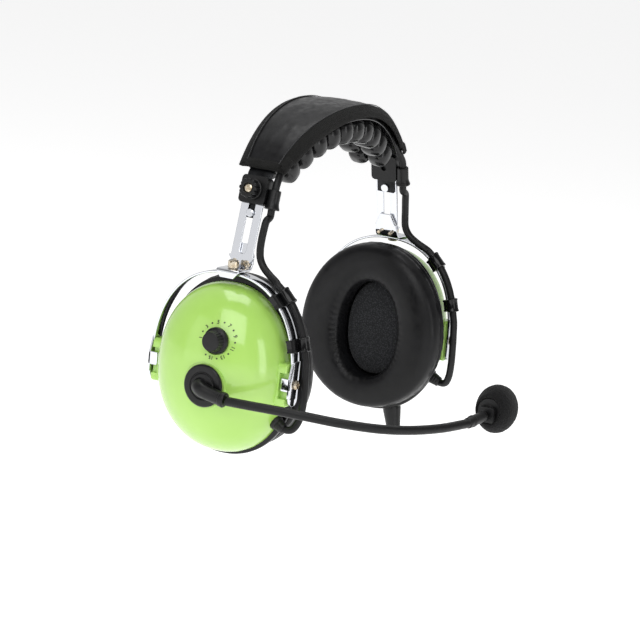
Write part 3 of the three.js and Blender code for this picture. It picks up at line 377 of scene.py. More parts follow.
def merge(name, pieces):
    """One object from several meshes, which keep their finishes."""
    bm = bmesh.new()
    finishes = []
    for piece in pieces:
        slots = []
        for finish in piece.data.materials:
            if finish not in finishes:
                finishes.append(finish)
            slots.append(finishes.index(finish))
        start = len(bm.faces)
        bm.from_mesh(piece.data)
        bm.faces.ensure_lookup_table()
        for face in bm.faces[start:]:
            face.material_index = slots[face.material_index]
    mesh = bpy.data.meshes.new(name)
    bm.to_mesh(mesh)
    bm.free()
    for finish in finishes:
        mesh.materials.append(finish)
    for piece in pieces:
        bpy.data.objects.remove(piece)
    whole = bpy.data.objects.new(name, mesh)
    bpy.context.scene.collection.objects.link(whole)
    return whole


# ---------------------------------------------------------------- finishes
def srgb(r, g, b):
    """A colour from 0 to 255 as the linear colour that a shader takes."""
    linear = [((c / 255 + 0.055) / 1.055) ** 2.4 if c > 10 else c / 255 / 12.92 for c in (r, g, b)]
    return (*linear, 1)


class Finish:
    """A material whose nodes are added one by one."""

    def __init__(self, name, colour, roughness, **values):
        self.material = bpy.data.materials.new(name)
        self.material.use_nodes = True
        self.tree = self.material.node_tree
        self.shader = self.tree.nodes["Principled BSDF"]
        self.shader.inputs["Base Color"].default_value = colour
        self.shader.inputs["Roughness"].default_value = roughness
        for key, value in values.items():
            self.shader.inputs[key.replace("_", " ")].default_value = value
        self.places = self.tree.nodes.new("ShaderNodeTexCoord")
        self.normal = None

    def texture(self, kind, scale, coordinate="Object", stretch=None, **values):
        node = self.tree.nodes.new("ShaderNodeTex" + kind)
        source = self.places.outputs[coordinate]
        if stretch:
            mapping = self.tree.nodes.new("ShaderNodeMapping")
            mapping.inputs["Scale"].default_value = stretch
            self.tree.links.new(source, mapping.inputs["Vector"])
            source = mapping.outputs["Vector"]
        self.tree.links.new(source, node.inputs["Vector"])
        node.inputs["Scale"].default_value = scale
        for key, value in values.items():
            if key in node.inputs:
                node.inputs[key].default_value = value
            else:
                setattr(node, key, value)
        return node.outputs[0]

    def spread(self, value, low, high, start=0.0, end=1.0):
        """The value, moved from one range to another."""
        node = self.tree.nodes.new("ShaderNodeMapRange")
        self.tree.links.new(value, node.inputs["Value"])
        for key, number in zip(("From Min", "From Max", "To Min", "To Max"), (start, end, low, high)):
            node.inputs[key].default_value = number
        return node.outputs["Result"]

    def rough(self, value, low, high, start=0.3, end=0.7):
        self.tree.links.new(self.spread(value, low, high, start, end), self.shader.inputs["Roughness"])

    def tint(self, value, first, second, start=0.3, end=0.7):
        """The base colour runs from first to second as the value rises."""
        node = self.tree.nodes.new("ShaderNodeMix")
        node.data_type = "RGBA"
        self.tree.links.new(self.spread(value, 0, 1, start, end), node.inputs["Factor"])
        node.inputs["A"].default_value = first
        node.inputs["B"].default_value = second
        self.tree.links.new(node.outputs["Result"], self.shader.inputs["Base Color"])

    def bump(self, value, depth, strength=1.0):
        """Raises the surface by up to depth millimetres, over the bumps added before."""
        node = self.tree.nodes.new("ShaderNodeBump")
        node.inputs["Distance"].default_value = depth / 1000
        node.inputs["Strength"].default_value = strength
        self.tree.links.new(value, node.inputs["Height"])
        if self.normal:
            self.tree.links.new(self.normal, node.inputs["Normal"])
        self.normal = node.outputs["Normal"]
        self.tree.links.new(self.normal, self.shader.inputs["Normal"])


def lime_finish():
    """Glossy moulded plastic: even colour, faint moulding waves, fine dust and rubbed patches."""
    f = Finish("lime_shell", srgb(164, 208, 98), 0.16, Specular_IOR_Level=0.55, Coat_Weight=0.35,
               Coat_Roughness=0.05)
    f.tint(f.texture("Noise", 26, Detail=3), srgb(160, 204, 94), srgb(170, 213, 105))
    f.rough(f.texture("Noise", 90, Detail=6), 0.12, 0.24)
    f.bump(f.texture("Noise", 60, Detail=2), 0.12, 0.35)
    f.bump(f.texture("Noise", 2600, Detail=2), 0.004, 0.5)
    return f.material


def chrome_finish(name="chrome", colour=(214, 216, 221), low=0.05, high=0.13):
    """Polished plated steel with faint handling marks and fine scratches along it."""
    f = Finish(name, srgb(*colour), low, Metallic=1.0)
    f.rough(f.texture("Noise", 140, Detail=8), low, high)
    f.bump(f.texture("Noise", 900, stretch=(1, 1, 0.05), Detail=3), 0.006, 0.35)
    f.bump(f.texture("Noise", 70, Detail=1), 0.03, 0.3)
    return f.material


def nickel_finish():
    f = Finish("nickel_screw", srgb(206, 196, 178), 0.2, Metallic=1.0)
    f.tint(f.texture("Noise", 300, Detail=4), srgb(214, 206, 190), srgb(176, 158, 128))
    f.rough(f.texture("Noise", 700, Detail=5), 0.14, 0.34)
    f.bump(f.texture("Noise", 2500, Detail=2), 0.01, 0.4)
    return f.material


def steel_finish():
    f = Finish("steel", srgb(176, 178, 180), 0.32, Metallic=1.0)
    f.rough(f.texture("Noise", 500, Detail=5), 0.25, 0.45)
    f.bump(f.texture("Noise", 1800, stretch=(1, 1, 0.1), Detail=2), 0.01, 0.4)
    return f.material


def spring_finish():
    """Blackened spring steel, worn slightly paler in patches."""
    f = Finish("black_spring_steel", srgb(24, 25, 27), 0.3, Metallic=0.6)
    f.tint(f.texture("Noise", 160, Detail=8), srgb(20, 21, 23), srgb(44, 45, 48), 0.45, 0.85)
    f.rough(f.texture("Noise", 350, Detail=6), 0.26, 0.48)
    f.bump(f.texture("Noise", 1600, Detail=3), 0.012, 0.5)
    return f.material


def plastic_finish(name, shade, low, high, grain):
    """Moulded black plastic with a spark-eroded grain."""
    f = Finish(name, srgb(*shade), low, Specular_IOR_Level=0.32)
    paler = tuple(c + 6 for c in shade)
    f.tint(f.texture("Noise", 120, Detail=5), srgb(*shade), srgb(*paler))
    f.rough(f.texture("Noise", 400, Detail=5), low, high)
    f.bump(f.texture("Noise", 3200, Detail=3), grain, 0.6)
    return f.material


def leather_finish():
    """Black leatherette: pebbled grain over soft dents, with a pale sheen."""
    f = Finish("leatherette", srgb(16, 16, 17), 0.36, Specular_IOR_Level=0.24)
    f.tint(f.texture("Noise", 60, Detail=6), srgb(11, 11, 12), srgb(20, 20, 22))
    f.rough(f.texture("Noise", 240, Detail=6), 0.28, 0.5)
    f.bump(f.texture("Noise", 55, Detail=2), 0.5, 0.5)
    f.bump(f.texture("Voronoi", 1500, feature="DISTANCE_TO_EDGE"), 0.05, 0.7)
    f.bump(f.texture("Noise", 3500, Detail=4), 0.02, 0.5)
    return f.material


def binding_finish():
    """Woven tape: ribs across its length and a finer thread over them."""
    f = Finish("woven_binding", srgb(12, 12, 12), 0.8, Specular_IOR_Level=0.12, Sheen_Weight=0.05)
    rib = f.texture("Wave", 0.55, "UV", bands_direction="Y", Distortion=0.6, Detail=1)
    f.tint(rib, srgb(5, 5, 5), srgb(24, 24, 22), 0, 1)
    f.bump(rib, 0.35, 0.9)
    f.bump(f.texture("Noise", 2400, Detail=3), 0.08, 0.7)
    return f.material


def thread_finish():
    f = Finish("thread", srgb(34, 35, 38), 0.6, Sheen_Weight=0.3)
    f.bump(f.texture("Noise", 3000, stretch=(1, 0.3, 1), Detail=2), 0.05, 0.8)
    return f.material


def vinyl_finish():
    """Thin glossy vinyl, slightly wrinkled, over air."""
    f = Finish("air_cell_vinyl", srgb(12, 12, 13), 0.15, Specular_IOR_Level=0.4)
    f.rough(f.texture("Noise", 180, Detail=5), 0.1, 0.28)
    f.bump(f.texture("Noise", 160, Detail=5), 0.5, 0.5)
    f.bump(f.texture("Noise", 1800, Detail=2), 0.015, 0.5)
    return f.material


def cord_finish():
    f = Finish("cord_jacket", srgb(13, 13, 14), 0.42, Specular_IOR_Level=0.3)
    f.rough(f.texture("Noise", 260, Detail=5), 0.34, 0.54)
    f.bump(f.texture("Noise", 900, stretch=(1, 1, 0.4), Detail=4), 0.03, 0.6)
    return f.material


def gooseneck_finish():
    """Ribbed rubber sleeve over a flexible arm."""
    f = Finish("gooseneck_rubber", srgb(14, 14, 15), 0.4, Specular_IOR_Level=0.3)
    f.bump(f.texture("Wave", 0.28, "UV", bands_direction="Y"), 0.12, 0.5)
    f.rough(f.texture("Noise", 300, Detail=5), 0.32, 0.5)
    f.bump(f.texture("Noise", 2200, Detail=3), 0.015, 0.6)
    return f.material


def foam_finish(name, shade, paler, pore):
    """Open foam: dark pores in a soft matte body."""
    f = Finish(name, srgb(*shade), 0.95, Specular_IOR_Level=0.1, Sheen_Weight=0.08, Sheen_Roughness=0.7)
    pores = f.texture("Voronoi", pore, Randomness=1.0)
    f.tint(pores, srgb(*paler), srgb(*shade), 0.1, 0.5)
    f.bump(f.texture("Noise", pore * 0.35, Detail=5), 0.5, 0.9)
    f.bump(pores, 0.3, 0.9)
    return f.material


def board_finish():
    """Green lacquered board with copper tracks."""
    f = Finish("circuit_board", srgb(24, 84, 48), 0.3, Coat_Weight=0.4)
    tracks = f.texture("Brick", 300)
    f.tint(tracks, srgb(22, 82, 46), srgb(36, 108, 62))
    f.bump(f.texture("Noise", 900, Detail=3), 0.03, 0.5)
    return f.material


def ink_finish():
    f = Finish("dial_ink", srgb(34, 30, 20), 0.45)
    f.tint(f.texture("Noise", 1200, Detail=2), srgb(28, 25, 16), srgb(46, 42, 28))
    return f.material


FINISHES = {
    "lime_shell": lime_finish(),
    "chrome": chrome_finish(),
    "nickel_screw": nickel_finish(),
    "steel": steel_finish(),
    "black_spring_steel": spring_finish(),
    "black_plastic": plastic_finish("black_plastic", (11, 11, 12), 0.3, 0.44, 0.012),
    "gloss_black": plastic_finish("gloss_black", (8, 8, 9), 0.1, 0.2, 0.003),
    "leatherette": leather_finish(),
    "air_cell_vinyl": vinyl_finish(),
    "cord_jacket": cord_finish(),
    "black_foam": foam_finish("black_foam", (4, 4, 5), (16, 16, 17), 1500),
    "grey_foam": foam_finish("grey_foam", (24, 25, 27), (58, 59, 62), 1100),
    "circuit_board": board_finish(),
}
GOOSENECK_FINISH = gooseneck_finish()
BINDING_FINISH = binding_finish()
THREAD_FINISH = thread_finish()
INK_FINISH = ink_finish()


# ---------------------------------------------------------------- ear cups
def rim_ring(shape, grow, x, count):
    """A ring of an oval in a plane of constant x."""
    ring = []
    for k in range(count):
        a = 2 * math.pi * k / count
        r = oval(shape, a) + grow
        ring.append(Vector((x, r * math.sin(a), r * math.cos(a))))
    return ring


def dome_ring(turn, inset, depth, count=144):
    """A ring of the dome. Turn 0 is its rim, and 90 degrees its pole."""
    power = 2 / DOME_POWER
    h = depth * math.sin(turn) ** power
    lift = 4 * h / DOME_DEPTH
    shrink = max(math.cos(turn), 0) ** power
    ring = []
    for k in range(count):
        a = 2 * math.pi * k / count
        r = (oval(SHELL_OVAL, a) - inset) * shrink
        ring.append(Vector((RIM_X - h, r * math.sin(a), r * math.cos(a) + lift)))
    return ring


def dome(side):
    """The cup's wall, open towards the head."""
    turns = [math.radians(90 * (i / 52) ** 0.9) for i in range(1, 53)]
    lip = [rim_ring(SHELL_OVAL, -0.9, RIM_X, 144), rim_ring(SHELL_OVAL, -0.25, RIM_X - 0.2, 144)]
    outer = lip + [dome_ring(t, 0, DOME_DEPTH) for t in turns]
    inner = [dome_ring(t, 2.6, DOME_DEPTH - 7) for t in [0] + turns[::3]]
    rings = list(reversed(inner)) + outer
    points, faces = skin(rings, caps=False)
    return make(f"cup_shell_{side}_look", points, faces, FINISHES["lime_shell"], side)


def ear(side, sign):
    """The block at a cup's side that takes the stirrup's pivot, with a recess for its stop."""
    finish = FINISHES["lime_shell"]
    outline = []
    for cx, cz, start in ((-1, 1, 90), (-1, -1, 180), (1, -1, 270), (1, 1, 0)):
        outline += arc_points(cx * 3.05, cz * 10.3, 3, start, start + 90, 6)
    centre = (-105.3, sign * 41.45, -0.6)
    block = plate("ear", [outline], 10.9, centre, (1, 0, 0), (0, 0, 1), finish, side, 1.0)
    depth, width, height = 6, 8, 16
    corners = [Vector((-114.3 + i * depth, sign * (42.4 + j * width), -8.8 + k * height))
               for i in (0, 1) for j in (0, 1) for k in (0, 1)]
    faces = [(0, 1, 3, 2), (4, 6, 7, 5), (0, 4, 5, 1), (2, 3, 7, 6), (0, 2, 6, 4), (1, 5, 7, 3)]
    return block, make("recess", corners, faces, finish, side)


def cylinder_x(radius, start, end, centre, side, finish):
    points, faces = lathe([(0, 0), (radius, 0), (radius, end - start), (0, end - start)],
                          (start, *centre), (1, 0, 0), 96)
    return make("cylinder", points, faces, finish, side)


def cup_shell(side):
    """The glossy dome with its ears, and on the right the knob's pocket and the boom's seat."""
    finish = FINISHES["lime_shell"]
    shell = dome(side)
    ears = [ear(side, sign) for sign in (1, -1)]
    combine(shell, [block for block, _ in ears], "UNION")
    cuts = [recess for _, recess in ears]
    if side == "right":
        combine(shell, [cylinder_x(13.7, DISC_SEAT, -130, DISC_AT, side, finish)], "UNION")
        cuts.append(cylinder_x(14.3, -150, DISC_SEAT, DISC_AT, side, finish))
        cuts.append(cylinder_x(8.6, -150, KNOB_FLOOR, KNOB_AT, side, finish))
    combine(shell, cuts, "DIFFERENCE", 32)
    weighted = shell.modifiers.new("shading", "WEIGHTED_NORMAL")
    weighted.keep_sharp, weighted.weight = True, 80
    mount(shell, f"cup_{side}", "lime_shell", f"cup_shell_{side}")


def baffle(side):
    """The black plate that closes the cup and carries the seal."""
    rings = []
    for grow, x in ((-0.9, -97.6), (-0.3, -97.4), (0, -96.9), (0, -95.1), (-0.3, -94.55), (-0.9, -94.3)):
        rings.append(rim_ring(BAFFLE_OVAL, grow, x, 128))
    for r, x in ((17.6, -94.3), (17, -94.8), (17, -97.1), (17.5, -97.6)):
        hole = {"up": r, "down": r, "half": r, "power": 2}
        rings.append(rim_ring(hole, 0, x, 128))
    points, faces = skin(rings, loop=True)
    piece = make(f"baffle_{side}_look", points, faces, FINISHES["gloss_black"], side)
    mount(piece, f"cup_{side}", "gloss_black", f"baffle_{side}")


SEAL_SECTION = [(0.05, -93.9), (0.5, -93.9), (0.93, -93.8), (1.0, -91.2), (0.985, -88.2), (1.0, -86.2),
                (0.985, -82.6), (0.93, -79.4), (0.8, -77.1), (0.6, -76.15), (0.4, -76.1), (0.2, -77),
                (0.06, -79.2), (0.005, -82.8), (0, -87.5), (0.01, -91)]


def seal_offset(angle, place):
    """Small puckers and slack of the seal's skin, in millimetres."""
    pucker = 0.22 * math.sin(46 * angle + 1.7 * math.sin(3 * angle))
    near_seam = math.exp(-(((place - 5) / 1.2) ** 2)) + math.exp(-(((place - 12.5) / 1.6) ** 2))
    slack = 0.3 * noise.noise(Vector((3 * math.cos(angle), 3 * math.sin(angle), place * 0.3)))
    return pucker * near_seam + slack


def ear_seal(side):
    """A soft leatherette ring with a sewn seam round its outside."""
    count = 240
    closed = [Vector((p[0] * 20, p[1], 0)) for p in SEAL_SECTION]
    section = smooth_route(closed + [closed[0]], 0.9)[:-1]
    rings = []
    for i, point in enumerate(section):
        place = len(SEAL_SECTION) * i / len(section)
        ring = []
        for k in range(count):
            a = 2 * math.pi * k / count
            share = min(max(point.x / 20, 0), 1)
            r = (1 - share) * oval(EAR_OVAL, a) + share * oval(SEAL_OVAL, a)
            push = seal_offset(a, place)
            r += push * (share - 0.5)
            x = point.y + (push * 0.4 if -92 < point.y < -77 else 0)
            ring.append(Vector((min(max(x, SEAL_BACK), SEAL_FACE), r * math.sin(a), r * math.cos(a))))
        rings.append(ring)
    points, faces = skin(rings, loop=True)
    piece = make(f"ear_seal_{side}_look", points, faces, FINISHES["leatherette"], side, 70)
    mount(piece, f"cup_{side}", "leatherette", f"ear_seal_{side}")


def speaker_foam(side):
    """The thin foam over the speaker, slightly crowned."""
    rings = []
    for grow, x in ((-1.3, -93.8), (-1.2, -93), (-1.3, -91.4), (-2.2, -90.8)):
        rings.append(rim_ring(EAR_OVAL, grow, x, 96))
    for share in (0.85, 0.7, 0.55, 0.4, 0.25, 0.12, 0.0):
        small = {k: (v * share if k != "power" else v) for k, v in EAR_OVAL.items()}
        ring = rim_ring(small, 0, -90.6, 96) if share else [Vector((-90.55, 0, 0))] * 96
        rings.append([p + Vector((0.12 * noise.noise(p * 0.4), 0, 0)) for p in ring])
    rings.insert(0, [Vector((-93.8, 0, 0))] * 96)
    points, faces = skin(rings, caps=False)
    piece = make(f"speaker_foam_{side}_look", points, faces, FINISHES["grey_foam"], side)
    mount(piece, f"cup_{side}", "grey_foam", f"speaker_foam_{side}")


# ---------------------------------------------------------------- volume knob and dial
def volume_knob():
    """A fluted, slightly tapered knob on a steel shaft."""
    rings = []
    profile = rounded([(0, 0), (8, 0), (8, 2.6), (6.6, 3.3), (5.9, 8.1), (5.5, 8.7), (0, 8.85)], 0.5)
    for r, h in profile:
        ring = []
        for k in range(192):
            t = 2 * math.pi * k / 192
            depth = 0.22 if 3.2 < h < 8.2 else 0
            fluted = r - depth * abs(math.sin(KNOB_FLUTES * t / 2)) ** 0.6
            ring.append(Vector((KNOB_BASE - h, KNOB_AT[0] + fluted * math.cos(t),
                                KNOB_AT[1] + fluted * math.sin(t))))
        rings.append(ring)
    points, faces = skin(rings, caps=False)
    body = make("knob_body", points, faces, FINISHES["black_plastic"], sharp=50)
    profile = [(0, -10), (3, -10), (3, 0.2), (0, 0.2)]
    shaft, shaft_faces = lathe(profile, (KNOB_BASE, *KNOB_AT), (-1, 0, 0), 32)
    rod = make("shaft", shaft, shaft_faces, FINISHES["steel"])
    knob = merge("volume_knob_look", [body, rod])
    mount(knob, "volume_knob", "black_plastic", "volume_knob")


def dial_print():
    """Odd numbers and dots in a ring round the knob, printed on the dome."""
    pieces = []
    for i in range(16):
        turn = math.radians(180 - 20 * i)
        label = str(i + 1) if i % 2 == 0 else "•"
        text = bpy.data.curves.new("digit", "FONT")
        text.body, text.align_x, text.align_y = label, "CENTER", "CENTER"
        text.size, text.offset = 3.0 if i % 2 == 0 else 3.8, 0.05
        flat = bpy.data.objects.new("digit", text)
        bpy.context.scene.collection.objects.link(flat)
        graph = bpy.context.evaluated_depsgraph_get()
        mesh = bpy.data.meshes.new_from_object(flat.evaluated_get(graph))
        bpy.data.objects.remove(flat)
        points = [on_dial(turn, v.co.x, v.co.y) for v in mesh.vertices]
        pieces.append(make("digit", points, [tuple(p.vertices) for p in mesh.polygons], INK_FINISH))
    ring = merge("dial_print", pieces)
    mount(ring, "cup_right", "black_plastic")


def on_dial(turn, across, outward):
    """A point of a digit that stands at a turn of the dial, with its top outwards."""
    radius = 10.6 + outward
    u = radius * math.cos(turn) + across * math.sin(turn)
    v = radius * math.sin(turn) - across * math.cos(turn)
    y, z = KNOB_AT[0] - u, KNOB_AT[1] + v
    return Vector((RIM_X - dome_height(y, z) - 0.14, y, z))


# ---------------------------------------------------------------- boom
def boom_elbow():
    """The swivel disc with its hub and the curved pipe that turns forward."""
    seat = DISC_SEAT - 0.35
    origin = (seat, *DISC_AT)
    profile = rounded([(0, 0), (12.4, 0), (13, 0.5), (13, 1.4), (12.1, 2.3), (8.6, 2.3), (8.2, 1.8),
                       (7.7, 1.8), (7.3, 2.6), (0, 3.2)], 0.35)
    points, faces = lathe(profile, origin, (-1, 0, 0), 96)
    disc = make("disc", points, faces, FINISHES["black_plastic"], sharp=60)
    path = smooth_route(ELBOW_ROUTE, 0.6)
    frames = path_frames(path)
    rings = []
    for i, (point, (a, b)) in enumerate(zip(path, frames)):
        r = 4.3 + 1.4 * math.exp(-((i / 5) ** 2)) + 0.3 * math.exp(-(((i - 12) / 8) ** 2))
        turns = [2 * math.pi * k / 40 for k in range(40)]
        rings.append([point + (a * math.cos(t) + b * math.sin(t)) * r for t in turns])
    points, faces = skin(rings)
    pipe = make("pipe", points, faces, FINISHES["black_plastic"], sharp=60)
    start, end = (Vector(p) for p in COLLAR)
    length = (end - start).length
    profile = rounded([(0, 0), (4.2, 0), (4.65, 0.4), (4.65, length - 0.5), (4.1, length), (3, length),
                       (0, length)], 0.3)
    points, faces = lathe(profile, start, end - start, 48)
    collar = make("collar", points, faces, FINISHES["black_plastic"], sharp=60)
    elbow = merge("boom_elbow_look", [disc, pipe, collar])
    mount(elbow, "boom", "black_plastic", "boom_elbow")


def boom_thread():
    """The threaded neck that passes through the dome and holds its nut."""
    points, faces = lathe(rounded([(0, 0), (4.6, 0), (5, 0.4), (5, 9), (0, 9)], 0.2),
                          (DISC_SEAT + 0.2, *DISC_AT), (1, 0, 0), 40)
    piece = make("boom_neck", points, faces, FINISHES["black_plastic"])
    mount(piece, "boom", "black_plastic")


def split_route(path, at):
    """The index of the path's point nearest to a place."""
    return min(range(len(path)), key=lambda i: (path[i] - Vector(at)).length)


def gooseneck():
    """The flexible arm in three lengths of tube."""
    path = smooth_route(GOOSENECK, 0.8)
    ferrule = Vector(FERRULE[0]).lerp(Vector(FERRULE[1]), 0.3)
    path.append(ferrule)
    first = split_route(path, GOOSENECK[2])
    second = split_route(path, Vector(GOOSENECK[5]).lerp(Vector(GOOSENECK[6]), 0.5))
    lengths = [path[: first + 1], path[first : second + 1], path[second:]]
    bends = [(GOOSENECK[0], "boom", "gooseneck_rear", "gooseneck_rear", 0),
             (GOOSENECK[4], "gooseneck_rear", "gooseneck_front", "gooseneck_front", 13),
             (GOOSENECK[7], "gooseneck_front", "mic", "gooseneck_tip", 11)]
    for length, (pivot, a, b, node, reach) in zip(lengths, bends):
        piece = tube(f"{node}_look", length, 2.8, GOOSENECK_FINISH, segments=24, ends=(False, False))
        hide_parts(node)
        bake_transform(piece)


def mic_ferrule():
    """The stepped sleeve between the arm and the microphone's clip."""
    start, end = (Vector(p) for p in FERRULE)
    length = (end - start).length
    profile = rounded([(0, 0), (2.7, 0), (3.35, 0.7), (3.35, 4.2), (3.7, 4.6), (3.7, 6.4), (3.35, 6.8),
                       (3.3, length - 2.6), (2.6, length - 0.7), (0, length)], 0.4)
    points, faces = lathe(profile, start, end - start, 48)
    piece = make("mic_ferrule_look", points, faces, FINISHES["black_plastic"], sharp=60)
    mount(piece, "mic", "black_plastic", "mic_ferrule")


WINDSCREEN = [(7.8, 17.6), (7.9, 10), (7.4, 6.2), (5.5, 5.6), (8, 6.2), (10.6, 8.1), (12.6, 10.4),
              (13.9, 13.3), (14.7, 16.6), (14.75, 20), (14.1, 23.4), (12.4, 26.2), (10.2, 28.1),
              (8.2, 28.5), (7.8, 27.6)]


def windscreen():
    """The foam ball over the microphone, with a soft uneven skin."""
    skin_points = [(0.0, 5.45), (3, 5.5)] + WINDSCREEN[3:]
    outer = smooth_route([Vector((r, x, 0)) for r, x in skin_points], 0.5)
    bore = [Vector((7.8, 22, 0)), Vector((7.8, 17.6, 0)), Vector((0, 17.6, 0))]
    rings = []
    for point in outer + bore:
        ring = []
        for k in range(150):
            t = 2 * math.pi * k / 150
            r = max(point.x, 0)
            at = Vector((-point.y, MIC_AXIS[0] + r * math.cos(t), MIC_AXIS[1] + r * math.sin(t)))
            lump = noise.fractal(at * 0.55, 0.6, 2.2, 4) * 0.16 if 1 < r and point.y > 5.5 else 0
            scale = (r + lump) / r if r > 0.5 else 1
            flat = min(max((r - 8) / 4, 0), 1)
            ring.append(Vector((at.x, MIC_AXIS[0] + (at.y - MIC_AXIS[0]) * scale * (1 - 0.16 * flat) - flat,
                                MIC_AXIS[1] + (at.z - MIC_AXIS[1]) * scale)))
        rings.append(ring)
    points, faces = skin(rings, caps=False)
    piece = make("mic_windscreen_look", points, faces, FINISHES["black_foam"], sharp=80)
    mount(piece, "mic", "black_foam", "mic_windscreen")


# ---------------------------------------------------------------- stirrups
def stirrup(side):
    """A chromed strip bent into an arch, with a flat pivot lug and a stop at each foot."""
    section = box_section(*STRIP, 0.35)
    frames = []
    steps = 88
    for i in range(steps + 1):
        angle = math.pi * (i / steps - 0.5)
        at = arch(angle)
        out = (arch(angle, 1) - at).normalized()
        frames.append((Vector((PIVOT_X, *at)), Vector((1, 0, 0)), Vector((0, *out)), section))
    strip = sweep("arch", frames, FINISHES["chrome"], side)
    parts = [strip]
    for sign in (1, -1):
        outline = [(4.25, 14), (4.25, -8.5)] + arc_points(-0.6, -8.5, 5, 0, -180, 16)
        outline += [(-6.9, -8), (-6.9, 4), (-4.25, 13), (-4.25, 14)]
        lug = plate("lug", [outline], 1.4, (PIVOT_X, sign * 48.8, 0), (1, 0, 0), (0, 0, 1),
                    FINISHES["chrome"], side, 0.25)
        tab = plate("stop", [box_section(6.3, 8, 1.2)], 1.2, (-110.3, sign * 46.35, 0), (0, 1, 0),
                    (0, 0, 1), FINISHES["chrome"], side, 0.25)
        parts += [lug, tab]
    mount(merge(f"stirrup_{side}_look", parts), f"stirrup_{side}", "chrome", f"stirrup_{side}")


def sleeve_section(grow=0.0):
    """The outline of a sleeve: a flat box round the strip that swells round the cord."""
    centre = Vector((3.4, 1.5))
    outline = []
    for k in range(72):
        t = 2 * math.pi * k / 72
        ray = Vector((math.cos(t), math.sin(t)))
        reach = 1e9
        for axis, low, high in ((0, -5.65, 5.65), (1, -2.1, 2.1)):
            if abs(ray[axis]) > 1e-9:
                edge = high if ray[axis] > 0 else low
                reach = min(reach, (edge - centre[axis]) / ray[axis])
        offset = centre - Vector(CORD_ON_STRIP)
        b = offset.dot(ray)
        round_reach = -b + math.sqrt(b * b - offset.length_squared + 3.7**2)
        at = centre + ray * (max(reach, round_reach) + grow)
        outline.append((at.x, at.y))
    return outline


def stirrup_sleeve(side, which, angle):
    """A glossy black clip round the strip and the cord, flared at its ends."""
    frames = []
    for place, grow in ((-4.3, -0.45), (-4.25, 0), (-4.0, 0.35), (-3.3, 0.3), (-2.6, 0), (2.6, 0),
                        (3.3, 0.3), (4.0, 0.35), (4.25, 0), (4.3, -0.45)):
        turn = angle + place / 58
        at = arch(turn)
        out = (arch(turn, 1) - at).normalized()
        frames.append((Vector((PIVOT_X, *at)), Vector((1, 0, 0)), Vector((0, *out)), sleeve_section(grow)))
    piece = sweep(f"stirrup_sleeve_{which}_{side}_look", frames, FINISHES["gloss_black"], side, 50)
    mount(piece, f"stirrup_{side}", "gloss_black", f"stirrup_sleeve_{which}_{side}")


# ---------------------------------------------------------------- sliders and clamps
LEAN_ALONG = Vector((math.sin(LEAN), 0, math.cos(LEAN)))
LEAN_OUT = Vector((-math.cos(LEAN), 0, math.sin(LEAN)))
Y_AXIS = Vector((0, 1, 0))


def slider_strap(side):
    """The slotted chrome strap that slides through the clamp."""
    outline = [(-7.5, 49), (-6.9, 49.6), (6.9, 49.6), (7.5, 49)]
    outline += [(7.5, 4)] + arc_points(0, 8.4, 10.2, -28, -152, 12) + [(-7.5, 4)]
    outline = [p for p in outline if p[1] > -1.9]
    slot = arc_points(0, 7.5, 2.3, 180, 360, 12) + arc_points(0, 45.3, 2.3, 0, 180, 12)
    strap = plate("strap", [outline, slot], 1.2, from_lean(0, 0), Y_AXIS, LEAN_ALONG, FINISHES["chrome"],
                  side, 0.22)
    mount(strap, f"slider_{side}", "chrome", f"slider_strap_{side}")


def slider_bracket(side):
    """The bent bracket that carries the strap and holds the stirrup's swivel."""
    route = [from_lean(-1.6, 11.8), from_lean(-1.6, 5), from_lean(-1.6, 0.2), Vector((-95.2, 0, 63.1)),
             Vector((-96.3, 0, 62.05)), Vector((-100, 0, 62.05)), Vector((-109.2, 0, 62.05)),
             Vector((-110.3, 0, 61.7)), Vector((-110.6, 0, 60.7)), Vector((-110.6, 0, 57.7))]
    widths = [8.5, 15.2, 16, 16, 16, 16, 16, 15.6, 14.5, 9.4]
    path = smooth_route(route, 0.5)
    frames = []
    for i, point in enumerate(path):
        ahead = (path[min(i + 1, len(path) - 1)] - path[max(i - 1, 0)]).normalized()
        nearest = min(range(len(route)), key=lambda k: (route[k] - point).length)
        step = 1 if (point - route[nearest]).dot(ahead) > 0 else -1
        other = min(max(nearest + step, 0), len(route) - 1)
        gap = max((route[other] - route[nearest]).length, 1e-6)
        share = min((point - route[nearest]).length / gap, 1)
        width = widths[nearest] * (1 - share) + widths[other] * share
        frames.append((point, Y_AXIS, Y_AXIS.cross(ahead), box_section(width, 1.35, 0.4)))
    piece = sweep(f"slider_bracket_{side}_look", frames, FINISHES["chrome"], side, 50)
    mount(piece, f"slider_{side}", "chrome", f"slider_bracket_{side}")


def knob_star(side, centre):
    """The knob's twelve-lobed head, with a dish in its face."""
    rings = []
    profile = rounded([(0, 4.95), (5.2, 4.95), (5.7, 5.4), (5.7, 10.3), (5.2, 10.95), (3.4, 10.95),
                       (3.0, 10.3), (3.0, 9.4), (0, 9.4)], 0.3, 3)
    for r, out in profile:
        ring = []
        for k in range(144):
            t = 2 * math.pi * k / 144
            lobe = 1.05 * (abs(math.cos(6 * t)) ** 0.7 - 0.65) if r > 4.5 else 0
            across = Y_AXIS * math.cos(t) + LEAN_ALONG * math.sin(t)
            ring.append(centre + LEAN_OUT * out + across * (r + lobe))
        rings.append(ring)
    points, faces = skin(rings, caps=False)
    return make("star", points, faces, FINISHES["black_plastic"], side, 60)


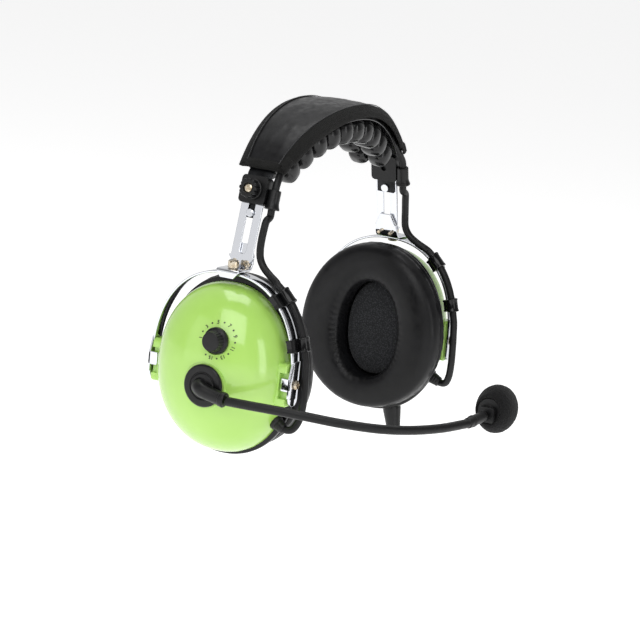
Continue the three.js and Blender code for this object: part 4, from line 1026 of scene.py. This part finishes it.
def knob_screw(side, centre):
    """The cross-slotted screw head in the knob's dish."""
    finish = FINISHES["nickel_screw"]
    profile = rounded([(0, 9.4), (2.75, 9.4), (2.75, 9.9), (1.9, 10.35), (0, 10.5)], 0.25)
    points, faces = lathe(profile, centre, LEAN_OUT, 40)
    screw = make("screw", points, faces, finish, side, 60)
    bars = []
    for a, b in ((4.4, 0.75), (0.75, 4.4)):
        bars.append(plate("slot", [box_section(a, b, 0.2)], 1.0, centre + LEAN_OUT * 10.3, Y_AXIS,
                          LEAN_ALONG, finish, side, 0.02))
    return combine(screw, bars, "DIFFERENCE", 40)


def clamp_knob(side):
    """The thumb knob on its collar and shank, with a screw in its dish."""
    centre = from_lean(0, KNOB_HEIGHT)
    star = knob_star(side, centre)
    profile = rounded([(0, 3.6), (5.6, 3.6), (6.35, 4.05), (6.35, 4.7), (5.7, 5.1), (0, 5.1)], 0.25)
    points, faces = lathe(profile, centre, LEAN_OUT, 72)
    collar = make("collar", points, faces, FINISHES["black_plastic"], side, 60)
    screw = knob_screw(side, centre)
    points, faces = lathe([(0, -2), (1.7, -2), (1.7, 5.2), (0, 5.2)], centre, LEAN_OUT, 24)
    shank = make("shank", points, faces, FINISHES["nickel_screw"], side)
    knob = merge(f"clamp_knob_{side}_look", [star, collar, screw, shank])
    mount(knob, f"clamp_knob_{side}", "black_plastic", f"clamp_knob_{side}")


def cord_channel(side):
    """The flared sleeve beside the clamp block that the cord runs up through."""
    bottom = from_lean(-1.6, 34.3, -12.6)
    profile = rounded([(2.55, 0), (4.6, 0), (4.75, 0.8), (4.1, 2.4), (3.75, 4), (3.7, 11.4), (3.4, 12),
                       (2.55, 12)], 0.35)
    points, faces = lathe(profile + [profile[0]], bottom, LEAN_ALONG, 56)
    piece = make(f"cord_channel_{side}_look", points, faces, FINISHES["black_plastic"], side, 60)
    mount(piece, "headband", "black_plastic", f"cord_channel_{side}")


# ---------------------------------------------------------------- band, pad cover and air cells
def band_route():
    """(point, outward, width) along the band, from the right tongue to the left one."""
    stations = []
    for s in (27.4, 27.8, 32, 38, 44, 49, 50.5):
        stations.append((from_lean(-1.5, s), LEAN_OUT, 12))
    for i in range(1, 13):
        angle = SLOPE + (SHOULDER - SLOPE) * i / 12
        up = Vector((-math.sin(angle), 0, math.cos(angle)))
        stations.append((shoulder(angle), up, 12 + 5 * min(i / 4, 1)))
    for i in range(1, 31):
        angle = -SHOULDER * (1 - i / 30)
        stations.append((crown(angle), Vector((math.sin(angle), 0, math.cos(angle))), 17))
    left = []
    for point, out, width in reversed(stations[:-1]):
        left.append((Vector((-point.x, 0, point.z)), Vector((-out.x, 0, out.z)), width))
    return stations + left


def headband_spring():
    """One black spring that runs over the head from clamp to clamp."""
    frames = [(p, Y_AXIS, out, box_section(w, 1.2, 0.4)) for p, out, w in band_route()]
    piece = sweep("headband_spring_look", frames, FINISHES["black_spring_steel"], sharp=50)
    mount(piece, "headband", "black_spring_steel", "headband_spring")


def cover_half(angle):
    """Half the pad cover's width at an angle of the crown."""
    reach = min(abs(crown(angle).x) / 80, 1) ** 1.7
    return 24 + (14.7 - 24) * reach


def cover_top(share):
    """The cover's height over the spring's middle, from the crown (0) to its end (1)."""
    table = [(0, 5), (0.35, 5.8), (0.6, 6.7), (0.8, 6), (0.92, 4.2), (1, 2.6)]
    total = 0
    for step in range(-4, 5):
        place = min(abs(share + 0.02 * step), 1)
        for (a, low), (b, high) in zip(table, table[1:]):
            if a <= place <= b:
                total += low + (high - low) * (place - a) / (b - a)
                break
    return total / 9


def cover_dent(angle, y):
    """Slight waves and dents of the cover's skin, in millimetres."""
    return 0.6 * noise.noise(Vector((angle * 4.5, y * 0.09, 3.1))) + 0.25 * noise.noise(
        Vector((angle * 12, y * 0.25, 8.4)))


def cover_surface(angle, across):
    """A point of the cover's top skin. Across runs from -1, the front edge, to 1."""
    share = abs(angle) / SHOULDER
    half = cover_half(angle)
    y = across * half
    edge = 1.9 - (1.6 * max(-across - 0.82, 0) / 0.18 if share < 0.9 else 0)
    rise = (1 - abs(across) ** 3.2) ** 0.85
    offset = edge + (cover_top(share) - 1.9) * rise + cover_dent(angle, y) * rise
    return crown(angle, offset, y)


def pad_cover():
    """The leatherette cover over the spring, crowned and slightly dented."""
    angles = [SHOULDER * (i / 60 - 1) for i in range(121)]
    steps = 36
    rings = []
    for angle in angles:
        half = cover_half(angle)
        top = [cover_surface(angle, 1 - 2 * k / steps) for k in range(steps + 1)]
        below = [crown(angle, 1.35, y) for y in (-half * 0.99, -half * 0.5, 0, half * 0.5, half * 0.99)]
        rings.append(top + below)
    points, faces = skin(rings)
    piece = make("pad_cover_look", points, faces, FINISHES["leatherette"], sharp=60)
    mount(piece, "headband", "leatherette", "pad_cover")


def edge_route():
    """The cover's edge all the way round, as (point, outward from the skin, inward along it)."""
    route = []
    for i in range(121):
        angle = SHOULDER * (i / 60 - 1)
        route.append((angle, -1))
    for i in range(1, 16):
        route.append((SHOULDER, -1 + 2 * i / 16))
    for i in range(121):
        route.append((SHOULDER * (1 - i / 60), 1))
    for i in range(1, 16):
        route.append((-SHOULDER, 1 - 2 * i / 16))
    return route


def binding():
    """The woven tape sewn round the cover's edge, folded over it."""
    rings = []
    width = 5.4
    for angle, across in edge_route():
        half = cover_half(angle)
        along_edge = width / half
        on_side = abs(across) == 1
        if on_side:
            inner = [(angle, across * (1 - along_edge * t)) for t in (1, 0.66, 0.33, 0.03)]
        else:
            turn = math.copysign(width / CROWN_RADIUS, angle)
            inner = [(angle - turn * t, across) for t in (1, 0.66, 0.33, 0.03)]
        up = Vector((math.sin(angle), 0, math.cos(angle)))
        end_way = Vector((math.cos(angle), 0, -math.sin(angle))) * math.copysign(1, angle)
        out_of_edge = Y_AXIS * across if on_side else end_way
        top = [cover_surface(a, c) + up * (0.25 if n == 0 else 0.75) for n, (a, c) in enumerate(inner)]
        corner = cover_surface(angle, across)
        drop = 3.2 if across == -1 else 1.0
        fold = [corner + out_of_edge * 0.9 + up * 0.1, corner + out_of_edge * 1.0 - up * drop * 0.6,
                corner + out_of_edge * 0.6 - up * drop, corner - out_of_edge * 0.4 - up * drop,
                corner - out_of_edge * 0.4 - up * 0.2]
        rings.append(top + fold)
    rings.append([p.copy() for p in rings[0]])
    piece = uv_skin("pad_binding", rings, BINDING_FINISH)
    mount(piece, "headband", "leatherette")


def stitches():
    """A row of thread stitches along the tape's inner edge."""
    pieces = []
    for across in (-1, 1):
        count = 96
        for i in range(count):
            angle = SHOULDER * 0.96 * (2 * (i + 0.5) / count - 1)
            edge = across * (1 - 4.6 / cover_half(angle))
            ahead = 0.7 / CROWN_RADIUS
            up = Vector((math.sin(angle), 0, math.cos(angle)))
            ends = [cover_surface(angle - ahead, edge) + up * 0.7, cover_surface(angle, edge) + up * 1.0,
                    cover_surface(angle + ahead, edge) + up * 0.7]
            pieces.append(tube("stitch", ends, 0.22, THREAD_FINISH, segments=6))
    seam = merge("pad_stitches", pieces)
    mount(seam, "headband", "leatherette")


def pillow(angle, y, half_along, half_across, top, bottom):
    """One inflated cell under the band."""
    middle = (top + bottom) / 2
    rings = []
    for i in range(17):
        lat = math.pi * (i / 16 - 0.5)
        ring = []
        for k in range(28):
            lon = 2 * math.pi * k / 28
            flat = abs(math.cos(lat)) ** 0.55
            a = math.copysign(abs(math.cos(lon)) ** 0.75, math.cos(lon)) * flat
            b = math.copysign(abs(math.sin(lon)) ** 0.75, math.sin(lon)) * flat
            height = math.copysign(abs(math.sin(lat)) ** 0.8, math.sin(lat)) * (top - bottom) / 2
            crease = 0.25 * noise.noise(Vector((angle * 30 + a, b * 2, height * 0.4)))
            turn = angle + half_along * a / (CROWN_RADIUS + middle)
            ring.append(crown(turn, middle + height + crease * (height < 0), y + half_across * b))
        rings.append(ring)
    return skin(rings, caps=False)


def air_cells():
    """Two rows of glossy air cells on a thin backing."""
    count = 10
    pieces = []
    for i in range(count):
        angle = CELL_SPAN * 0.965 * ((2 * i + 1) / count - 1)
        half = cover_half(angle) - 3
        depth = CROWN_RADIUS - (CROWN_Z - CROWN_CENTRE_Z)
        for sign in (-1, 1):
            points, faces = pillow(angle, sign * half * 0.49, 7.3, half * 0.5, -3.9, -depth + 0.3)
            pieces.append(make("cell", points, faces, FINISHES["air_cell_vinyl"], sharp=80))
    frames = []
    for i in range(61):
        angle = CELL_SPAN * (i / 30 - 1)
        out = Vector((math.sin(angle), 0, math.cos(angle)))
        width = 2 * cover_half(angle) - 5.6
        frames.append((crown(angle, -4.4), Y_AXIS, out, box_section(width, 1.0, 0.3)))
    pieces.append(sweep("backing", frames, FINISHES["air_cell_vinyl"], sharp=60))
    cells = merge("pad_air_cells_look", pieces)
    mount(cells, "headband", "air_cell_vinyl", "pad_air_cells")


# ---------------------------------------------------------------- cords
def strip_route(start, end, count):
    """Where the cord rides on the stirrup, between two angles of its arch."""
    route = []
    for i in range(count):
        at = arch(start + (end - start) * i / max(count - 1, 1), CORD_ON_STRIP[1])
        route.append(Vector((PIVOT_X + CORD_ON_STRIP[0], at.x, at.y)))
    return route


def cord_over_band():
    """The cord from one clamp's channel up and over the band to the other's."""
    half = [from_lean(-1.6, s, -12.6) for s in (34.2, 42, 49.6)] + [shoulder(1.05, -1.4, -12.2)]
    span = SHOULDER - 0.05
    middle = [crown(span * (2 * i / 14 - 1), -1.4, -11.4) for i in range(15)]
    left = [Vector((-p.x, p.y, p.z)) for p in reversed(half)]
    piece = tube("cord_over_band_look", smooth_route(half + middle + left, 1.5), CORD_RADIUS,
                 FINISHES["cord_jacket"])
    mount(piece, "headband", "cord_jacket", "cord_over_band")


def cord_drop(side):
    """The stretch from the clamp to the stirrup, in two lengths."""
    start = strip_route(-0.499, -0.457, 2)
    end = [from_lean(-1.6, 29.85, -12.6), from_lean(-1.6, 33.85, -12.6)]
    path = smooth_route(start + DROP_ROUTE + end, 1.0)
    cut = split_route(path, DROP_ROUTE[3])
    low = tube(f"cord_drop_low_{side}", path[: cut + 1], CORD_RADIUS, FINISHES["cord_jacket"], side,
               ends=(True, False))
    high = tube(f"cord_drop_high_{side}", path[cut:], CORD_RADIUS, FINISHES["cord_jacket"], side,
                ends=(False, True))
    for piece, bodies, a, b in (
        (low, (f"stirrup_{side}", f"slider_{side}"), start[1], Vector(DROP_ROUTE[2])),
        (high, (f"slider_{side}", "headband"), Vector(DROP_ROUTE[4]), end[0]),
    ):
        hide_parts(f"cord_drop_{side}")
        a, b = mirror([a, b], side)
        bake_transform(piece)


def cord_lower(side):
    """The loop from the cup's grommet to the stirrup's sleeves."""
    path = smooth_route([Vector(p) for p in TAIL_ROUTE] + strip_route(-1.208, -0.507, 9), 1.0)
    piece = tube(f"cord_lower_{side}_look", path, CORD_RADIUS, FINISHES["cord_jacket"], side)
    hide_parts(f"cord_lower_{side}")
    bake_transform(piece)


def grommet(side):
    """A ribbed rubber grommet where the cord enters the cup."""
    profile = rounded([(2.5, -2.2), (3.6, -2.2), (3.9, -1), (4.7, -0.8), (4.7, 1.2), (4.2, 1.8), (3.6, 2.2),
                       (3.9, 3), (3.5, 3.7), (3.7, 4.5), (3.3, 5.2), (3.4, 6), (3.1, 7.3), (2.5, 7.5)], 0.3)
    points, faces = lathe(profile + [profile[0]], (-102.2, -38, -25.4), (-0.12, -0.9, -0.42), 40)
    piece = make(f"cord_grommet_{side}_look", points, faces, FINISHES["black_plastic"], side, 60)
    mount(piece, f"cup_{side}", "black_plastic", f"cord_grommet_{side}")


# ---------------------------------------------------------------- CAD pieces that stay
def finish_cad_nodes():
    """Each CAD node that still shows gets its slot's finish and softly rounded edges."""
    slots = {part["node"]: part["material_slot"] for part in frame["record"]["subparts"]}
    for name, node in frame["nodes"].items():
        if node.hide_render:
            continue
        node.data.materials.clear()
        node.data.materials.append(FINISHES[slots[name]])
        weld = node.modifiers.new("weld", "WELD")
        weld.merge_threshold = 2e-6
        bevel = node.modifiers.new("bevel", "BEVEL")
        bevel.width, bevel.segments = 0.22e-3, 2
        bevel.limit_method, bevel.angle_limit = "ANGLE", math.radians(40)


# ---------------------------------------------------------------- studio
VIEW_TURN, VIEW_DROP, VIEW_ROLL = math.radians(27.84), math.radians(10.91), math.radians(5.47)
VIEW_TARGET = Vector((-32.55, -24.41, 26.29))
VIEW_DISTANCE = 2188.8
FOCAL_LENGTH = 199.457
FLOOR_HALF = 8  # metres
FLOOR_Z = -165


def view_axes():
    """The camera's right, up and viewing directions."""
    ahead = Vector((math.cos(VIEW_TURN) * math.cos(VIEW_DROP), math.sin(VIEW_TURN) * math.cos(VIEW_DROP),
                    -math.sin(VIEW_DROP)))
    right = Vector((math.sin(VIEW_TURN), -math.cos(VIEW_TURN), 0))
    up = right.cross(ahead)
    turned = right * math.cos(VIEW_ROLL) + up * math.sin(VIEW_ROLL)
    return turned, up * math.cos(VIEW_ROLL) - right * math.sin(VIEW_ROLL), ahead


def camera():
    """A long lens a little above the headset, in front of the wearer and on the right."""
    data = bpy.data.cameras.new("camera")
    data.sensor_width, data.lens = 36, FOCAL_LENGTH
    data.clip_start, data.clip_end = 0.05, 50
    right, up, ahead = view_axes()
    place = bpy.data.objects.new("camera", data)
    matrix = Matrix((right, up, -ahead)).transposed().to_4x4()
    matrix.translation = row(VIEW_TARGET - ahead * VIEW_DISTANCE)
    place.matrix_world = matrix
    bpy.context.scene.collection.objects.link(place)
    bpy.context.scene.camera = place


def area_light(name, location, width, height, power):
    """A softbox that faces the headset."""
    data = bpy.data.lights.new(name, "AREA")
    data.shape, data.size, data.size_y, data.energy = "RECTANGLE", width, height, power
    lamp = bpy.data.objects.new(name, data)
    lamp.location = Vector(location)
    target = Vector((-0.03, -0.02, -0.1))
    lamp.rotation_mode = "QUATERNION"
    lamp.rotation_quaternion = (target - lamp.location).to_track_quat("-Z", "Y")
    bpy.context.scene.collection.objects.link(lamp)


def surround():
    """A pale world, brighter beyond the headset than on the main view's own side."""
    world = bpy.data.worlds.new("surround")
    bpy.context.scene.world = world
    world.use_nodes = True
    tree = world.node_tree
    places = tree.nodes.new("ShaderNodeTexCoord")
    dot = tree.nodes.new("ShaderNodeVectorMath")
    dot.operation = "DOT_PRODUCT"
    dot.inputs[1].default_value = view_axes()[2]
    tree.links.new(places.outputs["Generated"], dot.inputs[0])
    spread = tree.nodes.new("ShaderNodeMapRange")
    for key, value in (("From Min", -0.3), ("From Max", 0.8), ("To Min", 0.2), ("To Max", 0.75)):
        spread.inputs[key].default_value = value
    tree.links.new(dot.outputs["Value"], spread.inputs["Value"])
    tree.nodes["Background"].inputs["Color"].default_value = (1, 1, 1, 1)
    tree.links.new(spread.outputs["Result"], tree.nodes["Background"].inputs["Strength"])


def white_floor():
    """A plain floor that glows a little, so that it stays near white behind the headset."""
    floor_mesh = bpy.data.meshes.new("floor")
    z = (FLOOR_Z - CROWN_Z) / 1000
    h = FLOOR_HALF
    floor_mesh.from_pydata([(-h, -h, z), (h, -h, z), (h, h, z), (-h, h, z)], [], [(0, 1, 2, 3)])
    paper = Finish("paper", srgb(250, 250, 250), 0.9)
    paper.shader.inputs["Emission Color"].default_value = (1, 1, 1, 1)
    paper.shader.inputs["Emission Strength"].default_value = 0.55
    paper.bump(paper.texture("Noise", 400, Detail=3), 0.02, 0.2)
    floor_mesh.materials.append(paper.material)
    floor = bpy.data.objects.new("floor", floor_mesh)
    bpy.context.scene.collection.objects.link(floor)


def studio():
    """The pale surround, four softboxes and the floor."""
    surround()
    area_light("key", (-1.1, -0.3, 0.8), 1.1, 1.1, 11)
    area_light("side", (-1.25, 0.67, 0.2), 0.9, 1.0, 2.2)
    area_light("front", (-0.5, -1.5, 0.1), 0.4, 1.0, 4)
    area_light("top", (0.2, 0.1, 1.3), 0.9, 0.9, 8)
    bpy.context.scene.view_settings.view_transform = "Standard"
    white_floor()


# ---------------------------------------------------------------- assembly
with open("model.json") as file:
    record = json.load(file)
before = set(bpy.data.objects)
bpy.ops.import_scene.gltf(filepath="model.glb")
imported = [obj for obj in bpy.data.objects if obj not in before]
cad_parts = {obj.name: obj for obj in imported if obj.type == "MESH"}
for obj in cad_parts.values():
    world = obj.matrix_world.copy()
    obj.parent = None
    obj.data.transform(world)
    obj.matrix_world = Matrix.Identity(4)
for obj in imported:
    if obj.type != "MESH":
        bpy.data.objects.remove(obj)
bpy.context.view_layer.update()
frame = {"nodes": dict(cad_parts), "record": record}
camera()
for side in SIDES:
    cord_drop(side)
    cord_lower(side)
cord_over_band()
for side in SIDES:
    cup_shell(side)
    baffle(side)
    ear_seal(side)
    speaker_foam(side)
    stirrup(side)
    stirrup_sleeve(side, "lower", -1.108)
    stirrup_sleeve(side, "upper", -0.607)
    slider_strap(side)
    slider_bracket(side)
    clamp_knob(side)
    cord_channel(side)
    grommet(side)
volume_knob()
dial_print()
boom_elbow()
boom_thread()
gooseneck()
mic_ferrule()
windscreen()
headband_spring()
pad_cover()
binding()
stitches()
air_cells()
finish_cad_nodes()
studio()
